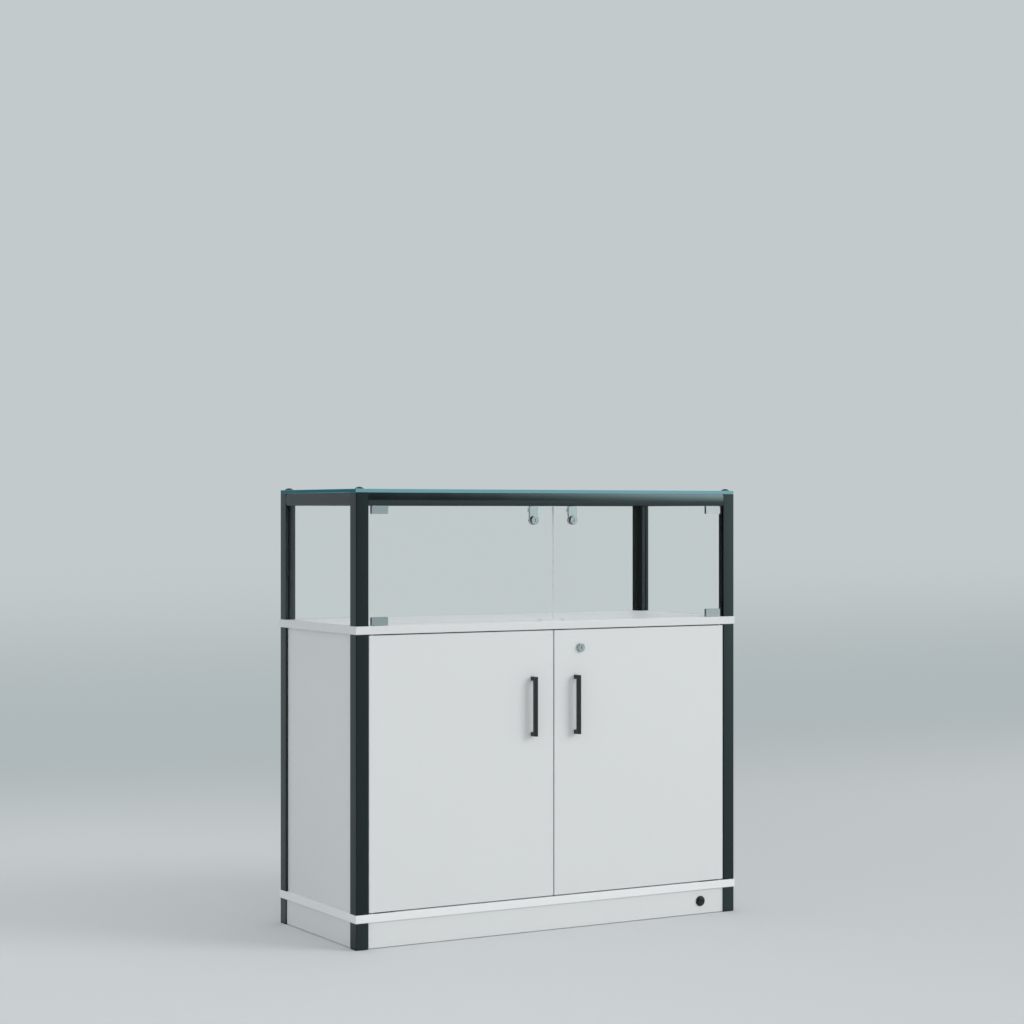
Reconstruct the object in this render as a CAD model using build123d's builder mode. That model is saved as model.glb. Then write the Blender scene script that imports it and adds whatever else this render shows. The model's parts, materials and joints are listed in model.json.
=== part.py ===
from build123d import *
import os

os.makedirs("parts", exist_ok=True)

# All sizes are in millimetres. X runs along the counter, the doors face -Y, Z is up and the floor is Z = 0.

# Boards and the stack of levels
BOARD_W = 1000.0
BOARD_D = 400.0
BOARD_T = 18.0
BOARD_LIP = 1.5
FOOT_H = 58.0
LOWER_H = 606.0
UPPER_H = 290.0
TOP_GLASS_T = 8.0

# Grooved square profile of the posts
POST = 30.0
POST_FLAT = 20.0
POST_WALL = 1.8
POST_CORNER_R = 2.0
POST_EDGE = 0.6
GROOVE_IN = 5.8
GROOVE_W = 5.8
GROOVE_DEPTH = 8.0
BOSS_R = 6.3
BORE_R = 4.3

# Top rails, whose outer face is slightly crowned
RAIL_H = 28.0
RAIL_D = 20.0
RAIL_CROWN = 1.5
RAIL_WALL = 2.0
RAIL_GROOVE_DEPTH = 10.0

# Long tie bolts from the feet up, and the dome nuts on the glass
ROD_R = 3.0
ROD_BASE = 4.0
ROD_L = 990.0
HEAD_AF = 10.0
HEAD_T = 5.0
HEAD_ROOM = 13.0
PAD_T = 3.0
PAD_W = 29.4
PAD_CORNER = 1.5
DOME_R = 9.75
DOME_RIM = 0.8
DOME_H = 4.5
DOME_SHANK_R = 4.0
DOME_SHANK_L = 28.0
GLASS_HOLE_R = 4.4
SOCKET_AF = 4.0
SOCKET_DEPTH = 2.2

# Panels of the cabinet and the plinth
PANEL_T = 16.0
PANEL_IN = 6.0
TONGUE_T = 5.4
TONGUE_L = 7.5
PLINTH_IN = 3.0
PLINTH_GROUND = 1.5
PLINTH_END_GAP = 0.5
EDGE = 0.8

# Inner shelf and the holes for its pins
SHELF_T = 16.0
SHELF_UNDER = 371.0
SHELF_SIDE_GAP = 1.0
SHELF_FRONT = 45.0
SHELF_BACK = 366.0
PIN_R = 2.5
PIN_HOLE_DEPTH = 9.0
PIN_OUT = 9.0
PIN_PITCH = 32.0
PIN_INSET = 50.0

# Cabinet doors
DOOR_T = 18.0
DOOR_SET = 1.0
DOOR_POST_GAP = 1.5
DOOR_CENTRE_GAP = 3.0
DOOR_Z_GAP = 2.5
PIVOT_FROM_EDGE = 9.0
PIVOT_FROM_FACE = 5.0
LEAF_L = 60.0
LEAF_W = 8.0
LEAF_T = 2.5
PIVOT_R = 2.5
PIVOT_PLAY = 0.05
PIVOT_COLLAR_R = 3.6
PIVOT_TIP = 4.0

# Bar handles
HANDLE_OUT = 20.0
HANDLE_L = 134.0
HANDLE_BAR_W = 7.5
HANDLE_BAR_T = 6.0
HANDLE_FOOT = 9.0
HANDLE_X = 57.0
HANDLE_Z = 509.6
HANDLE_EDGE = 0.5
SCREW_R = 2.0
SCREW_IN = 8.0
SCREW_HEAD_R = 4.0
SCREW_HEAD_H = 2.4

# Panes of the showcase
PANE_T = 4.0
PANE_RISE = 8.5
PANE_IN_GROOVE = 7.0
GASKET_L = 7.8
GLASS_DOOR_T = 5.0
GLASS_DOOR_SET = 3.5
GLASS_DOOR_POST_GAP = 1.5
GLASS_DOOR_CENTRE_GAP = 2.5
GLASS_DOOR_Z_GAP = 3.0

# Clamps that carry the glass doors, and their bushes
CLAMP_W = 40.0
CLAMP_H = 18.0
CLAMP_CHEEK = 1.5
CLAMP_GAP = 0.8
CLAMP_FROM_POST = 8.5
CLAMP_PIN_IN = 7.5
CLAMP_PIN_R = 2.0
CLAMP_CORNER = 1.2
BUSH_R = 3.5
BUSH_L = 7.0
BUSH_GRIP = 6.0

# Locks: a cam for the cabinet, and a crank pin that lifts a flat latch for each glass door
LOCK_R = 10.0
LOCK_HEAD_H = 5.5
LOCK_BODY_R = 8.0
LOCK_PLUG_R = 5.5
LOCK_NUT_AF = 18.0
LOCK_NUT_T = 3.0
KEYWAY_W = 1.6
KEYWAY_H = 7.0
KEYWAY_DEPTH = 4.0
CAM_T = 2.0
CAM_GAP = 0.4
THREAD_PLAY = 0.04
CAM_HUB_R = 8.0
CAM_TIP_R = 6.0
CAM_REACH = 36.0
CAM_RIVET_R = 4.2
CAM_RIVET_H = 2.0
CABINET_LOCK_X = 70.4
CABINET_LOCK_Z = 638.4
GLASS_LOCK_X = 51.2
GLASS_LOCK_Z = 929.0
STRAP_W = 21.0
STRAP_T = 1.2
GLASS_LOCK_HOLE_R = 8.5
CRANK_REACH = 4.0
CRANK_R = 1.4
CRANK_PLAY = 0.25
CRANK_HEAD_R = 2.2
CRANK_HEAD_T = 1.0
LATCH_W = 14.0
LATCH_T = 2.0
LATCH_GAP = 0.2
LATCH_BELOW = 7.0
LATCH_UNDER_RAIL = 1.3
GUIDE_W = 19.0
GUIDE_H = 9.0
GUIDE_UP = 18.0
GUIDE_DEPTH = 6.7
GUIDE_PLAY = 0.05
KEEPER_SLOT_L = 15.0
KEEPER_SLOT_W = 3.0

# Stops, buffers and the bolt behind the doors
STOP_IN = 45.0
STOP_L = 80.0
STOP_DROP = 12.0
STOP_LEG = 17.0
STOP_T = 1.5
STOP_GAP = 0.4
BUFFER_R = 4.0
BUFFER_H = 6.0
BUFFER_X = 30.0
BOLT_R = 3.0
BOLT_X = 25.0
BOLT_BASE = 606.0
BOLT_L = 72.0
BOLT_TRAVEL = 12.0
BOLT_CASE_W = 22.0
BOLT_CASE_T = 1.5
BOLT_CASE_BASE = 612.0
BOLT_CASE_H = 56.0
BOLT_LOOP_H = 8.0
BOLT_LOOP_Z = (616.0, 652.0)
BOLT_AXIS_IN = 6.5
BOLT_KNOB_Z = 634.0
BOLT_KNOB_R = 2.5
BOLT_KNOB_L = 9.5

# Cable bush of the plinth
BUSH_X = 403.2
BUSH_Z = 31.0
CABLE_FLANGE_R = 11.9
CABLE_FLANGE_T = 2.0
CABLE_NOSE_R = 6.5
CABLE_NOSE_H = 5.5
CABLE_BODY_R = 9.0
CABLE_HOLE_R = 9.2
CABLE_TAIL_L = 2.5
CABLE_BORE_R = 5.0

# Small steel brackets
BRACKET_L = 20.0
BRACKET_W = 16.0
BRACKET_T = 2.0
BRACKET_X = 330.0
CONNECTOR_H = 12.0

# Places that follow from the sizes above
X_OUT = BOARD_W / 2 - BOARD_LIP
X_IN = X_OUT - POST
POSTS_D = BOARD_D - 2 * BOARD_LIP
FRONT_Y = (HANDLE_OUT - DOOR_SET - POSTS_D - BOARD_LIP) / 2
REAR_Y = FRONT_Y + POSTS_D
MID_Y = FRONT_Y + POSTS_D / 2
SIDE_L = POSTS_D - 2 * POST
Z_CABINET = FOOT_H + BOARD_T
Z_MIDDLE = Z_CABINET + LOWER_H
Z_DISPLAY = Z_MIDDLE + BOARD_T
Z_GLASS = Z_DISPLAY + UPPER_H
Z_TOP = Z_GLASS + TOP_GLASS_T
Z_RAIL = Z_GLASS - RAIL_H
DOOR_FACE = FRONT_Y + DOOR_SET
DOOR_BACK = DOOR_FACE + DOOR_T
GLASS_FACE = FRONT_Y + GLASS_DOOR_SET
GLASS_BACK = GLASS_FACE + GLASS_DOOR_T
LATCH_FRONT = GLASS_BACK + STRAP_T + LOCK_NUT_T + LATCH_GAP

# Each corner: where the profile's outer corner stands, and how far the profile is turned
CORNERS = {
    "front_left": (-X_OUT, FRONT_Y, 0),
    "front_right": (X_OUT, FRONT_Y, 90),
    "rear_right": (X_OUT, REAR_Y, 180),
    "rear_left": (-X_OUT, REAR_Y, 270),
}
ROD_X = X_OUT - POST / 2
ROD_PLACES = [(sx * ROD_X, y) for sx in (-1, 1) for y in (FRONT_Y + POST / 2, REAR_Y - POST / 2)]
HANDED = {"left": -1, "right": 1}


def corner_plane(corner, height):
    """Level plane at a corner, whose first quadrant looks into the counter."""
    x, y, turn = CORNERS[corner]
    return Plane(origin=(x, y, height), x_dir=Vector(1, 0, 0).rotate(Axis.Z, turn))


def side_plane(side, height):
    """Upright plane between two posts: x points inwards, y up, and it faces along the side."""
    return {
        "front": Plane(origin=(-X_IN, FRONT_Y, height), x_dir=(0, 1, 0), z_dir=(1, 0, 0)),
        "rear": Plane(origin=(X_IN, REAR_Y, height), x_dir=(0, -1, 0), z_dir=(-1, 0, 0)),
        "left": Plane(origin=(-X_OUT, REAR_Y - POST, height), x_dir=(1, 0, 0), z_dir=(0, -1, 0)),
        "right": Plane(origin=(X_OUT, FRONT_Y + POST, height), x_dir=(-1, 0, 0), z_dir=(0, 1, 0)),
    }[side]


def side_length(side):
    """Clear length between the posts of a side."""
    return 2 * X_IN if side in ("front", "rear") else SIDE_L


def facing_front(y, x=0.0, z=0.0):
    """Upright plane that faces the doors' side: x to the right, y up."""
    return Plane(origin=(x, y, z), x_dir=(1, 0, 0), z_dir=(0, -1, 0))


# Post profile: square outside with a rounded outer corner, its inner corner cut off, a groove in each inner
# face and an eight-sided tube in the middle that is tied to the walls by a diagonal rib.
groove_mid = GROOVE_IN + GROOVE_W / 2
with BuildSketch() as post_outline:
    with BuildLine():
        Polyline((0, 0), (POST, 0), (POST, POST_FLAT), (POST_FLAT, POST), (0, POST), close=True)
    make_face()
    fillet(post_outline.vertices().sort_by_distance((0, 0))[0], POST_CORNER_R)
    chamfer(post_outline.vertices().sort_by_distance((POST, 0))[0], POST_EDGE)
    chamfer(post_outline.vertices().sort_by_distance((0, POST))[0], POST_EDGE)
    with Locations((groove_mid, POST - GROOVE_DEPTH / 2)):
        Rectangle(GROOVE_W, GROOVE_DEPTH, mode=Mode.SUBTRACT)
    with Locations((POST - GROOVE_DEPTH / 2, groove_mid)):
        Rectangle(GROOVE_DEPTH, GROOVE_W, mode=Mode.SUBTRACT)

with BuildSketch() as post_cavity:
    add(post_outline.sketch)
    offset(amount=-POST_WALL, kind=Kind.INTERSECTION, mode=Mode.REPLACE)
    with Locations((POST / 2, POST / 2)):
        RegularPolygon(BOSS_R, 8, major_radius=False, rotation=22.5, mode=Mode.SUBTRACT)
    with Locations((POST / 4, POST / 4)):
        Rectangle(POST / 2, POST_WALL, rotation=45, mode=Mode.SUBTRACT)

with BuildSketch() as post_section:
    add(post_outline.sketch)
    add(post_cavity.sketch, mode=Mode.SUBTRACT)
    with Locations((POST / 2, POST / 2)):
        RegularPolygon(BORE_R, 8, major_radius=False, rotation=22.5, mode=Mode.SUBTRACT)

# Feet, cut back from below for the heads of the tie bolts
with BuildPart() as feet:
    for corner in CORNERS:
        with BuildSketch(corner_plane(corner, PAD_T)):
            add(post_section.sketch)
        extrude(amount=FOOT_H - PAD_T)
    with Locations(*[(x, y, PAD_T) for x, y in ROD_PLACES]):
        Box(
            HEAD_ROOM,
            HEAD_ROOM,
            ROD_BASE + HEAD_T - PAD_T,
            align=(Align.CENTER, Align.CENTER, Align.MIN),
            mode=Mode.SUBTRACT,
        )
feet.part.label = "feet"
export_step(feet.part, "parts/feet.step")

with BuildPart() as foot_pads:
    with BuildSketch() as foot_pads_outline:
        with Locations(*ROD_PLACES):
            Rectangle(PAD_W, PAD_W)
        chamfer(foot_pads_outline.vertices(), PAD_CORNER)
    extrude(amount=PAD_T)
    chamfer(foot_pads.faces().sort_by(Axis.Z)[:4].edges(), POST_EDGE)
    with BuildSketch(Plane.XY.offset(PAD_T)):
        with Locations(*ROD_PLACES):
            Rectangle(HEAD_ROOM - 0.2, HEAD_ROOM - 0.2)
    extrude(amount=ROD_BASE - PAD_T)
foot_pads.part.label = "foot_pads"
export_step(foot_pads.part, "parts/foot_pads.step")

for corner in CORNERS:
    with BuildPart() as lower_post:
        with BuildSketch(corner_plane(corner, Z_CABINET)):
            add(post_section.sketch)
        extrude(amount=LOWER_H)
    lower_post.part.label = f"lower_post_{corner}"
    export_step(lower_post.part, f"parts/lower_post_{corner}.step")

    with BuildPart() as upper_post:
        with BuildSketch(corner_plane(corner, Z_DISPLAY)):
            add(post_section.sketch)
        extrude(amount=UPPER_H)
    upper_post.part.label = f"upper_post_{corner}"
    export_step(upper_post.part, f"parts/upper_post_{corner}.step")

# Tie bolts from foot to glass, each with its hexagon head in the foot
with BuildPart() as tie_bolts:
    with Locations(*[(x, y, ROD_BASE) for x, y in ROD_PLACES]):
        Cylinder(ROD_R, ROD_L, align=(Align.CENTER, Align.CENTER, Align.MIN))
    with BuildSketch(Plane.XY.offset(ROD_BASE)):
        with Locations(*ROD_PLACES):
            RegularPolygon(HEAD_AF / 2, 6, major_radius=False)
    extrude(amount=HEAD_T)
tie_bolts.part.label = "tie_bolts"
export_step(tie_bolts.part, "parts/tie_bolts.step")

# Dome head with a threaded shank that goes down through the glass, and a hexagon socket on top
with BuildPart() as dome_nut:
    with BuildSketch(Plane.XZ):
        with BuildLine():
            Line((0, DOME_H), (0, -2))
            Line((0, -2), (ROD_R, -2))
            Line((ROD_R, -2), (ROD_R, -DOME_SHANK_L))
            Line((ROD_R, -DOME_SHANK_L), (DOME_SHANK_R, -DOME_SHANK_L))
            Line((DOME_SHANK_R, -DOME_SHANK_L), (DOME_SHANK_R, 0))
            Line((DOME_SHANK_R, 0), (DOME_R, 0))
            Line((DOME_R, 0), (DOME_R, DOME_RIM))
            TangentArc((0, DOME_H), (DOME_R, DOME_RIM), tangent=(1, 0))
        make_face()
    revolve(axis=Axis.Z)
    with BuildSketch(Plane.XY.offset(DOME_H)):
        RegularPolygon(SOCKET_AF / 2, 6, major_radius=False)
    extrude(amount=-SOCKET_DEPTH, mode=Mode.SUBTRACT)

with BuildPart() as dome_nuts:
    with Locations(*[(x, y, Z_TOP) for x, y in ROD_PLACES]):
        add(dome_nut.part)
dome_nuts.part.label = "dome_nuts"
export_step(dome_nuts.part, "parts/dome_nuts.step")


def pivot_x(hand):
    """X of the pivot of a cabinet door."""
    return HANDED[hand] * (X_IN - DOOR_POST_GAP - PIVOT_FROM_EDGE)


def leaf_centres():
    """Middle of each pivot leaf on the boards, with the pivot in the round end of the leaf."""
    run = (LEAF_L - LEAF_W) / 2
    return [(pivot_x(hand) - HANDED[hand] * run, DOOR_FACE + PIVOT_FROM_FACE) for hand in HANDED]


def glass_pivot_x(hand):
    """X of the pivot of a glass door."""
    return HANDED[hand] * (X_IN - CLAMP_FROM_POST - CLAMP_PIN_IN)


glass_pivot_y = GLASS_FACE + GLASS_DOOR_T / 2
pivot_y = DOOR_FACE + PIVOT_FROM_FACE
bolt_y = DOOR_BACK + BOLT_AXIS_IN

# Bottom board, with recesses for the lower pivot leaves
with BuildPart() as bottom_board:
    with BuildSketch(Plane.XY.offset(FOOT_H)):
        with Locations((0, MID_Y)):
            Rectangle(BOARD_W, BOARD_D)
    extrude(amount=BOARD_T)
    chamfer(bottom_board.edges(), EDGE)
    with BuildSketch(Plane.XY.offset(FOOT_H)):
        with Locations(*ROD_PLACES):
            Circle(BORE_R)
    extrude(amount=BOARD_T, mode=Mode.SUBTRACT)
    with BuildSketch(Plane.XY.offset(Z_CABINET)):
        with Locations(*leaf_centres()):
            SlotOverall(LEAF_L, LEAF_W)
    extrude(amount=-LEAF_T, mode=Mode.SUBTRACT)
bottom_board.part.label = "bottom_board"
export_step(bottom_board.part, "parts/bottom_board.step")

# Middle board: recesses for the upper pivot leaves and a hole for the bolt below, and holes for the bushes
# of the glass doors on top
with BuildPart() as middle_board:
    with BuildSketch(Plane.XY.offset(Z_MIDDLE)):
        with Locations((0, MID_Y)):
            Rectangle(BOARD_W, BOARD_D)
    extrude(amount=BOARD_T)
    chamfer(middle_board.edges(), EDGE)
    with BuildSketch(Plane.XY.offset(Z_MIDDLE)):
        with Locations(*ROD_PLACES):
            Circle(BORE_R)
    extrude(amount=BOARD_T, mode=Mode.SUBTRACT)
    with BuildSketch(Plane.XY.offset(Z_MIDDLE)):
        with Locations(*leaf_centres()):
            SlotOverall(LEAF_L, LEAF_W)
    extrude(amount=LEAF_T, mode=Mode.SUBTRACT)
    with BuildSketch(Plane.XY.offset(Z_MIDDLE)):
        with Locations((-BOLT_X, bolt_y)):
            Circle(BOLT_R + 0.5)
    extrude(amount=BOLT_TRAVEL, mode=Mode.SUBTRACT)
    with BuildSketch(Plane.XY.offset(Z_DISPLAY)):
        with Locations(*[(glass_pivot_x(hand), glass_pivot_y) for hand in HANDED]):
            Circle(BUSH_R)
    extrude(amount=-BUSH_L, mode=Mode.SUBTRACT)
middle_board.part.label = "middle_board"
export_step(middle_board.part, "parts/middle_board.step")

# Plinth boards between the feet, just clear of the floor
PLINTHS = {"plinth_front": ["front"], "plinth_rear": ["rear"], "plinth_ends": ["left", "right"]}
for name, sides in PLINTHS.items():
    with BuildPart() as plinth:
        for side in sides:
            with BuildSketch(side_plane(side, 0).offset(PLINTH_END_GAP)):
                with Locations((PLINTH_IN + PANEL_T / 2, (PLINTH_GROUND + FOOT_H) / 2)):
                    Rectangle(PANEL_T, FOOT_H - PLINTH_GROUND)
            extrude(amount=side_length(side) - 2 * PLINTH_END_GAP)
        if name == "plinth_front":
            with BuildSketch(facing_front(FRONT_Y + PLINTH_IN, BUSH_X, BUSH_Z)):
                Circle(CABLE_HOLE_R)
            extrude(amount=-PANEL_T, mode=Mode.SUBTRACT)
    plinth.part.label = name
    export_step(plinth.part, f"parts/{name}.step")

with BuildPart() as plinth_brackets:
    for side, x_dir in (("front", 1), ("rear", -1)):
        inner_y = FRONT_Y + PLINTH_IN + PANEL_T if side == "front" else REAR_Y - PLINTH_IN - PANEL_T
        for x in (-BRACKET_X, 0, BRACKET_X):
            leg_plane = Plane(origin=(x, inner_y, FOOT_H), x_dir=(0, x_dir, 0), z_dir=(x_dir, 0, 0))
            with BuildSketch(leg_plane):
                with BuildLine():
                    Polyline(
                        (0, 0),
                        (BRACKET_L, 0),
                        (BRACKET_L, -BRACKET_T),
                        (BRACKET_T, -BRACKET_T),
                        (BRACKET_T, -BRACKET_L),
                        (0, -BRACKET_L),
                        close=True,
                    )
                make_face()
            extrude(amount=BRACKET_W / 2, both=True)
plinth_brackets.part.label = "plinth_brackets"
export_step(plinth_brackets.part, "parts/plinth_brackets.step")

# Cabinet panels, each with a thin tongue that runs into the grooves of its two posts
pin_rows = [SHELF_UNDER - PIN_R + step * PIN_PITCH - Z_CABINET for step in (-1, 0, 1)]
PANELS = {"side_panel_left": "left", "side_panel_right": "right", "back_panel": "rear"}
for name, side in PANELS.items():
    run = side_length(side)
    with BuildPart() as panel:
        with BuildSketch(side_plane(side, Z_CABINET)):
            with Locations((PANEL_IN + PANEL_T / 2, LOWER_H / 2)):
                Rectangle(PANEL_T, LOWER_H)
        extrude(amount=run)
        with BuildSketch(side_plane(side, Z_CABINET).offset(-TONGUE_L)):
            with Locations((PANEL_IN + TONGUE_T / 2, LOWER_H / 2)):
                Rectangle(TONGUE_T, LOWER_H)
        extrude(amount=run + 2 * TONGUE_L)
        if side != "rear":
            inner = side_plane(side, Z_CABINET)
            face = Plane(
                origin=inner.from_local_coords((PANEL_IN + PANEL_T, 0, 0)),
                x_dir=inner.z_dir,
                z_dir=inner.x_dir,
            )
            rise = 1 if face.y_dir.Z > 0 else -1
            with BuildSketch(face):
                with Locations(*[(x, rise * z) for x in (PIN_INSET, run - PIN_INSET) for z in pin_rows]):
                    Circle(PIN_R)
            extrude(amount=-PIN_HOLE_DEPTH, mode=Mode.SUBTRACT)
    panel.part.label = name
    export_step(panel.part, f"parts/{name}.step")

with BuildPart() as inner_shelf:
    shelf_half = X_OUT - PANEL_IN - PANEL_T - SHELF_SIDE_GAP
    with BuildSketch(Plane.XY.offset(SHELF_UNDER)):
        with Locations((0, FRONT_Y + (SHELF_FRONT + SHELF_BACK) / 2)):
            Rectangle(2 * shelf_half, SHELF_BACK - SHELF_FRONT)
    extrude(amount=SHELF_T)
    chamfer(inner_shelf.faces().sort_by(Axis.Y)[0].edges().filter_by(Axis.X), EDGE)
inner_shelf.part.label = "inner_shelf"
export_step(inner_shelf.part, "parts/inner_shelf.step")

with BuildPart() as shelf_pins:
    panel_x = X_OUT - PANEL_IN - PANEL_T
    for hand in HANDED.values():
        for y in (FRONT_Y + POST + PIN_INSET, REAR_Y - POST - PIN_INSET):
            start = Plane(
                origin=(hand * (panel_x + PIN_HOLE_DEPTH), y, SHELF_UNDER - PIN_R), z_dir=(-hand, 0, 0)
            )
            with BuildSketch(start):
                Circle(PIN_R)
            extrude(amount=PIN_HOLE_DEPTH + PIN_OUT)
shelf_pins.part.label = "shelf_pins"
export_step(shelf_pins.part, "parts/shelf_pins.step")

# Rail profiles: hollow, with a crowned outer face. The side and rear rails have a groove for the pane below.
with BuildSketch() as front_rail_section:
    with BuildLine():
        ThreePointArc((RAIL_CROWN, 0), (0, RAIL_H / 2), (RAIL_CROWN, RAIL_H))
        Polyline((RAIL_CROWN, RAIL_H), (RAIL_D, RAIL_H), (RAIL_D, 0), (RAIL_CROWN, 0))
    make_face()
    with Locations(((RAIL_CROWN + RAIL_D) / 2, RAIL_H / 2)):
        Rectangle(RAIL_D - RAIL_CROWN - 2 * RAIL_WALL, RAIL_H - 2 * RAIL_WALL, mode=Mode.SUBTRACT)

web_right = GROOVE_IN + GROOVE_W + RAIL_WALL
web_top = RAIL_GROOVE_DEPTH + RAIL_WALL
with BuildSketch() as pane_rail_section:
    add(front_rail_section.sketch)
    with Locations(((RAIL_CROWN + web_right) / 2, web_top / 2)):
        Rectangle(web_right - RAIL_CROWN, web_top)
    with Locations((groove_mid, RAIL_GROOVE_DEPTH / 2)):
        Rectangle(GROOVE_W, RAIL_GROOVE_DEPTH, mode=Mode.SUBTRACT)

latch_mid = LATCH_FRONT + LATCH_T / 2
RAILS = {"rail_front": ["front"], "rail_rear": ["rear"], "rail_ends": ["left", "right"]}
for name, sides in RAILS.items():
    with BuildPart() as rail:
        for side in sides:
            with BuildSketch(side_plane(side, Z_RAIL)):
                add(front_rail_section.sketch if side == "front" else pane_rail_section.sketch)
            extrude(amount=side_length(side))
        if name == "rail_front":
            with BuildSketch(Plane.XY.offset(Z_RAIL)):
                with Locations(*[(glass_pivot_x(hand), glass_pivot_y) for hand in HANDED]):
                    Circle(BUSH_R)
            extrude(amount=BUSH_L, mode=Mode.SUBTRACT)
            with BuildSketch(Plane.XY.offset(Z_RAIL)):
                with Locations(*[(hand * GLASS_LOCK_X, latch_mid) for hand in HANDED.values()]):
                    Rectangle(KEEPER_SLOT_L, KEEPER_SLOT_W)
            extrude(amount=RAIL_WALL, mode=Mode.SUBTRACT)
    rail.part.label = name
    export_step(rail.part, f"parts/{name}.step")

# Connectors: each sits in the groove of a post and in the hollow end of a rail
with BuildPart() as rail_connectors:
    for side in ("front", "rear", "left", "right"):
        for start in (-GROOVE_DEPTH, side_length(side) - BRACKET_L):
            with BuildSketch(side_plane(side, Z_GLASS - RAIL_WALL - CONNECTOR_H).offset(start)):
                with Locations((groove_mid, CONNECTOR_H / 2)):
                    Rectangle(GROOVE_W, CONNECTOR_H)
            extrude(amount=GROOVE_DEPTH + BRACKET_L)
rail_connectors.part.label = "rail_connectors"
export_step(rail_connectors.part, "parts/rail_connectors.step")

with BuildPart() as top_glass:
    with BuildSketch(Plane.XY.offset(Z_GLASS)):
        with Locations((0, MID_Y)):
            RectangleRounded(2 * X_OUT, POSTS_D, POST_CORNER_R)
        with Locations(*ROD_PLACES):
            Circle(GLASS_HOLE_R, mode=Mode.SUBTRACT)
    extrude(amount=TOP_GLASS_T)
    chamfer(top_glass.faces().sort_by(Axis.Z)[-1].outer_wire().edges(), 0.5)
    chamfer(top_glass.faces().sort_by(Axis.Z)[0].outer_wire().edges(), 0.5)
top_glass.part.label = "top_glass"
export_step(top_glass.part, "parts/top_glass.step")

# Fixed panes in the grooves, and the gaskets round their edges
PANES = {"side_panes": ["left", "right"], "back_pane": ["rear"]}
pane_h = UPPER_H - RAIL_H + PANE_RISE
fixed_panes = []
for name, sides in PANES.items():
    with BuildPart() as panes:
        for side in sides:
            with BuildSketch(side_plane(side, Z_DISPLAY).offset(-PANE_IN_GROOVE)):
                with Locations((groove_mid, pane_h / 2)):
                    Rectangle(PANE_T, pane_h)
            extrude(amount=side_length(side) + 2 * PANE_IN_GROOVE)
    panes.part.label = name
    export_step(panes.part, f"parts/{name}.step")
    fixed_panes.append(panes.part)

with BuildPart() as pane_gaskets:
    for side in ("left", "right", "rear"):
        for start in (-GASKET_L, side_length(side)):
            with BuildSketch(side_plane(side, Z_DISPLAY).offset(start)):
                with Locations((groove_mid, (UPPER_H - RAIL_H) / 2)):
                    Rectangle(GROOVE_W, UPPER_H - RAIL_H)
            extrude(amount=GASKET_L)
        with BuildSketch(side_plane(side, Z_RAIL)):
            with Locations((groove_mid, (PANE_RISE + 1) / 2)):
                Rectangle(GROOVE_W, PANE_RISE + 1)
        extrude(amount=side_length(side))
    for panes_part in fixed_panes:
        add(panes_part, mode=Mode.SUBTRACT)
pane_gaskets.part.label = "pane_gaskets"
export_step(pane_gaskets.part, "parts/pane_gaskets.step")

# Cable bush: a flanged plug with a tapered nose, hollow from behind and pressed into the plinth
with BuildPart() as cable_bush:
    with BuildSketch(Plane(origin=(BUSH_X, FRONT_Y + PLINTH_IN, BUSH_Z), x_dir=(1, 0, 0), z_dir=(0, 0, 1))):
        with BuildLine():
            Polyline(
                (0, -CABLE_NOSE_H),
                (CABLE_NOSE_R, -CABLE_NOSE_H),
                (CABLE_BODY_R, -CABLE_FLANGE_T),
                (CABLE_FLANGE_R, -CABLE_FLANGE_T),
                (CABLE_FLANGE_R, 0),
                (CABLE_BODY_R, 0),
                (CABLE_BODY_R, PANEL_T + CABLE_TAIL_L),
                (CABLE_BORE_R, PANEL_T + CABLE_TAIL_L),
                (CABLE_BORE_R, -CABLE_FLANGE_T),
                (0, -CABLE_FLANGE_T),
                close=True,
            )
        make_face()
    revolve(axis=Axis((BUSH_X, FRONT_Y, BUSH_Z), (0, 1, 0)))
cable_bush.part.label = "cable_bush"
export_step(cable_bush.part, "parts/cable_bush.step")

# Steel angles under the middle board: stops of the cabinet doors and keeper of the cam
with BuildPart() as door_stops:
    for hand in HANDED.values():
        stop_start = (hand * (STOP_IN + STOP_L / 2), DOOR_BACK + STOP_GAP, Z_MIDDLE)
        stop_plane = Plane(origin=stop_start, x_dir=(0, 1, 0), z_dir=(1, 0, 0))
        with BuildSketch(stop_plane):
            with BuildLine():
                Polyline(
                    (0, 0),
                    (STOP_LEG, 0),
                    (STOP_LEG, -STOP_T),
                    (STOP_T, -STOP_T),
                    (STOP_T, -STOP_DROP),
                    (0, -STOP_DROP),
                    close=True,
                )
            make_face()
        extrude(amount=STOP_L / 2, both=True)
door_stops.part.label = "door_stops"
export_step(door_stops.part, "parts/door_stops.step")

with BuildPart() as door_buffers:
    with BuildSketch(Plane.XY.offset(Z_DISPLAY)):
        with Locations(*[(x, GLASS_BACK + BUFFER_R + 0.2) for x in (-BUFFER_X, BUFFER_X)]):
            Circle(BUFFER_R)
    extrude(amount=BUFFER_H)
door_buffers.part.label = "door_buffers"
export_step(door_buffers.part, "parts/door_buffers.step")

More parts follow.
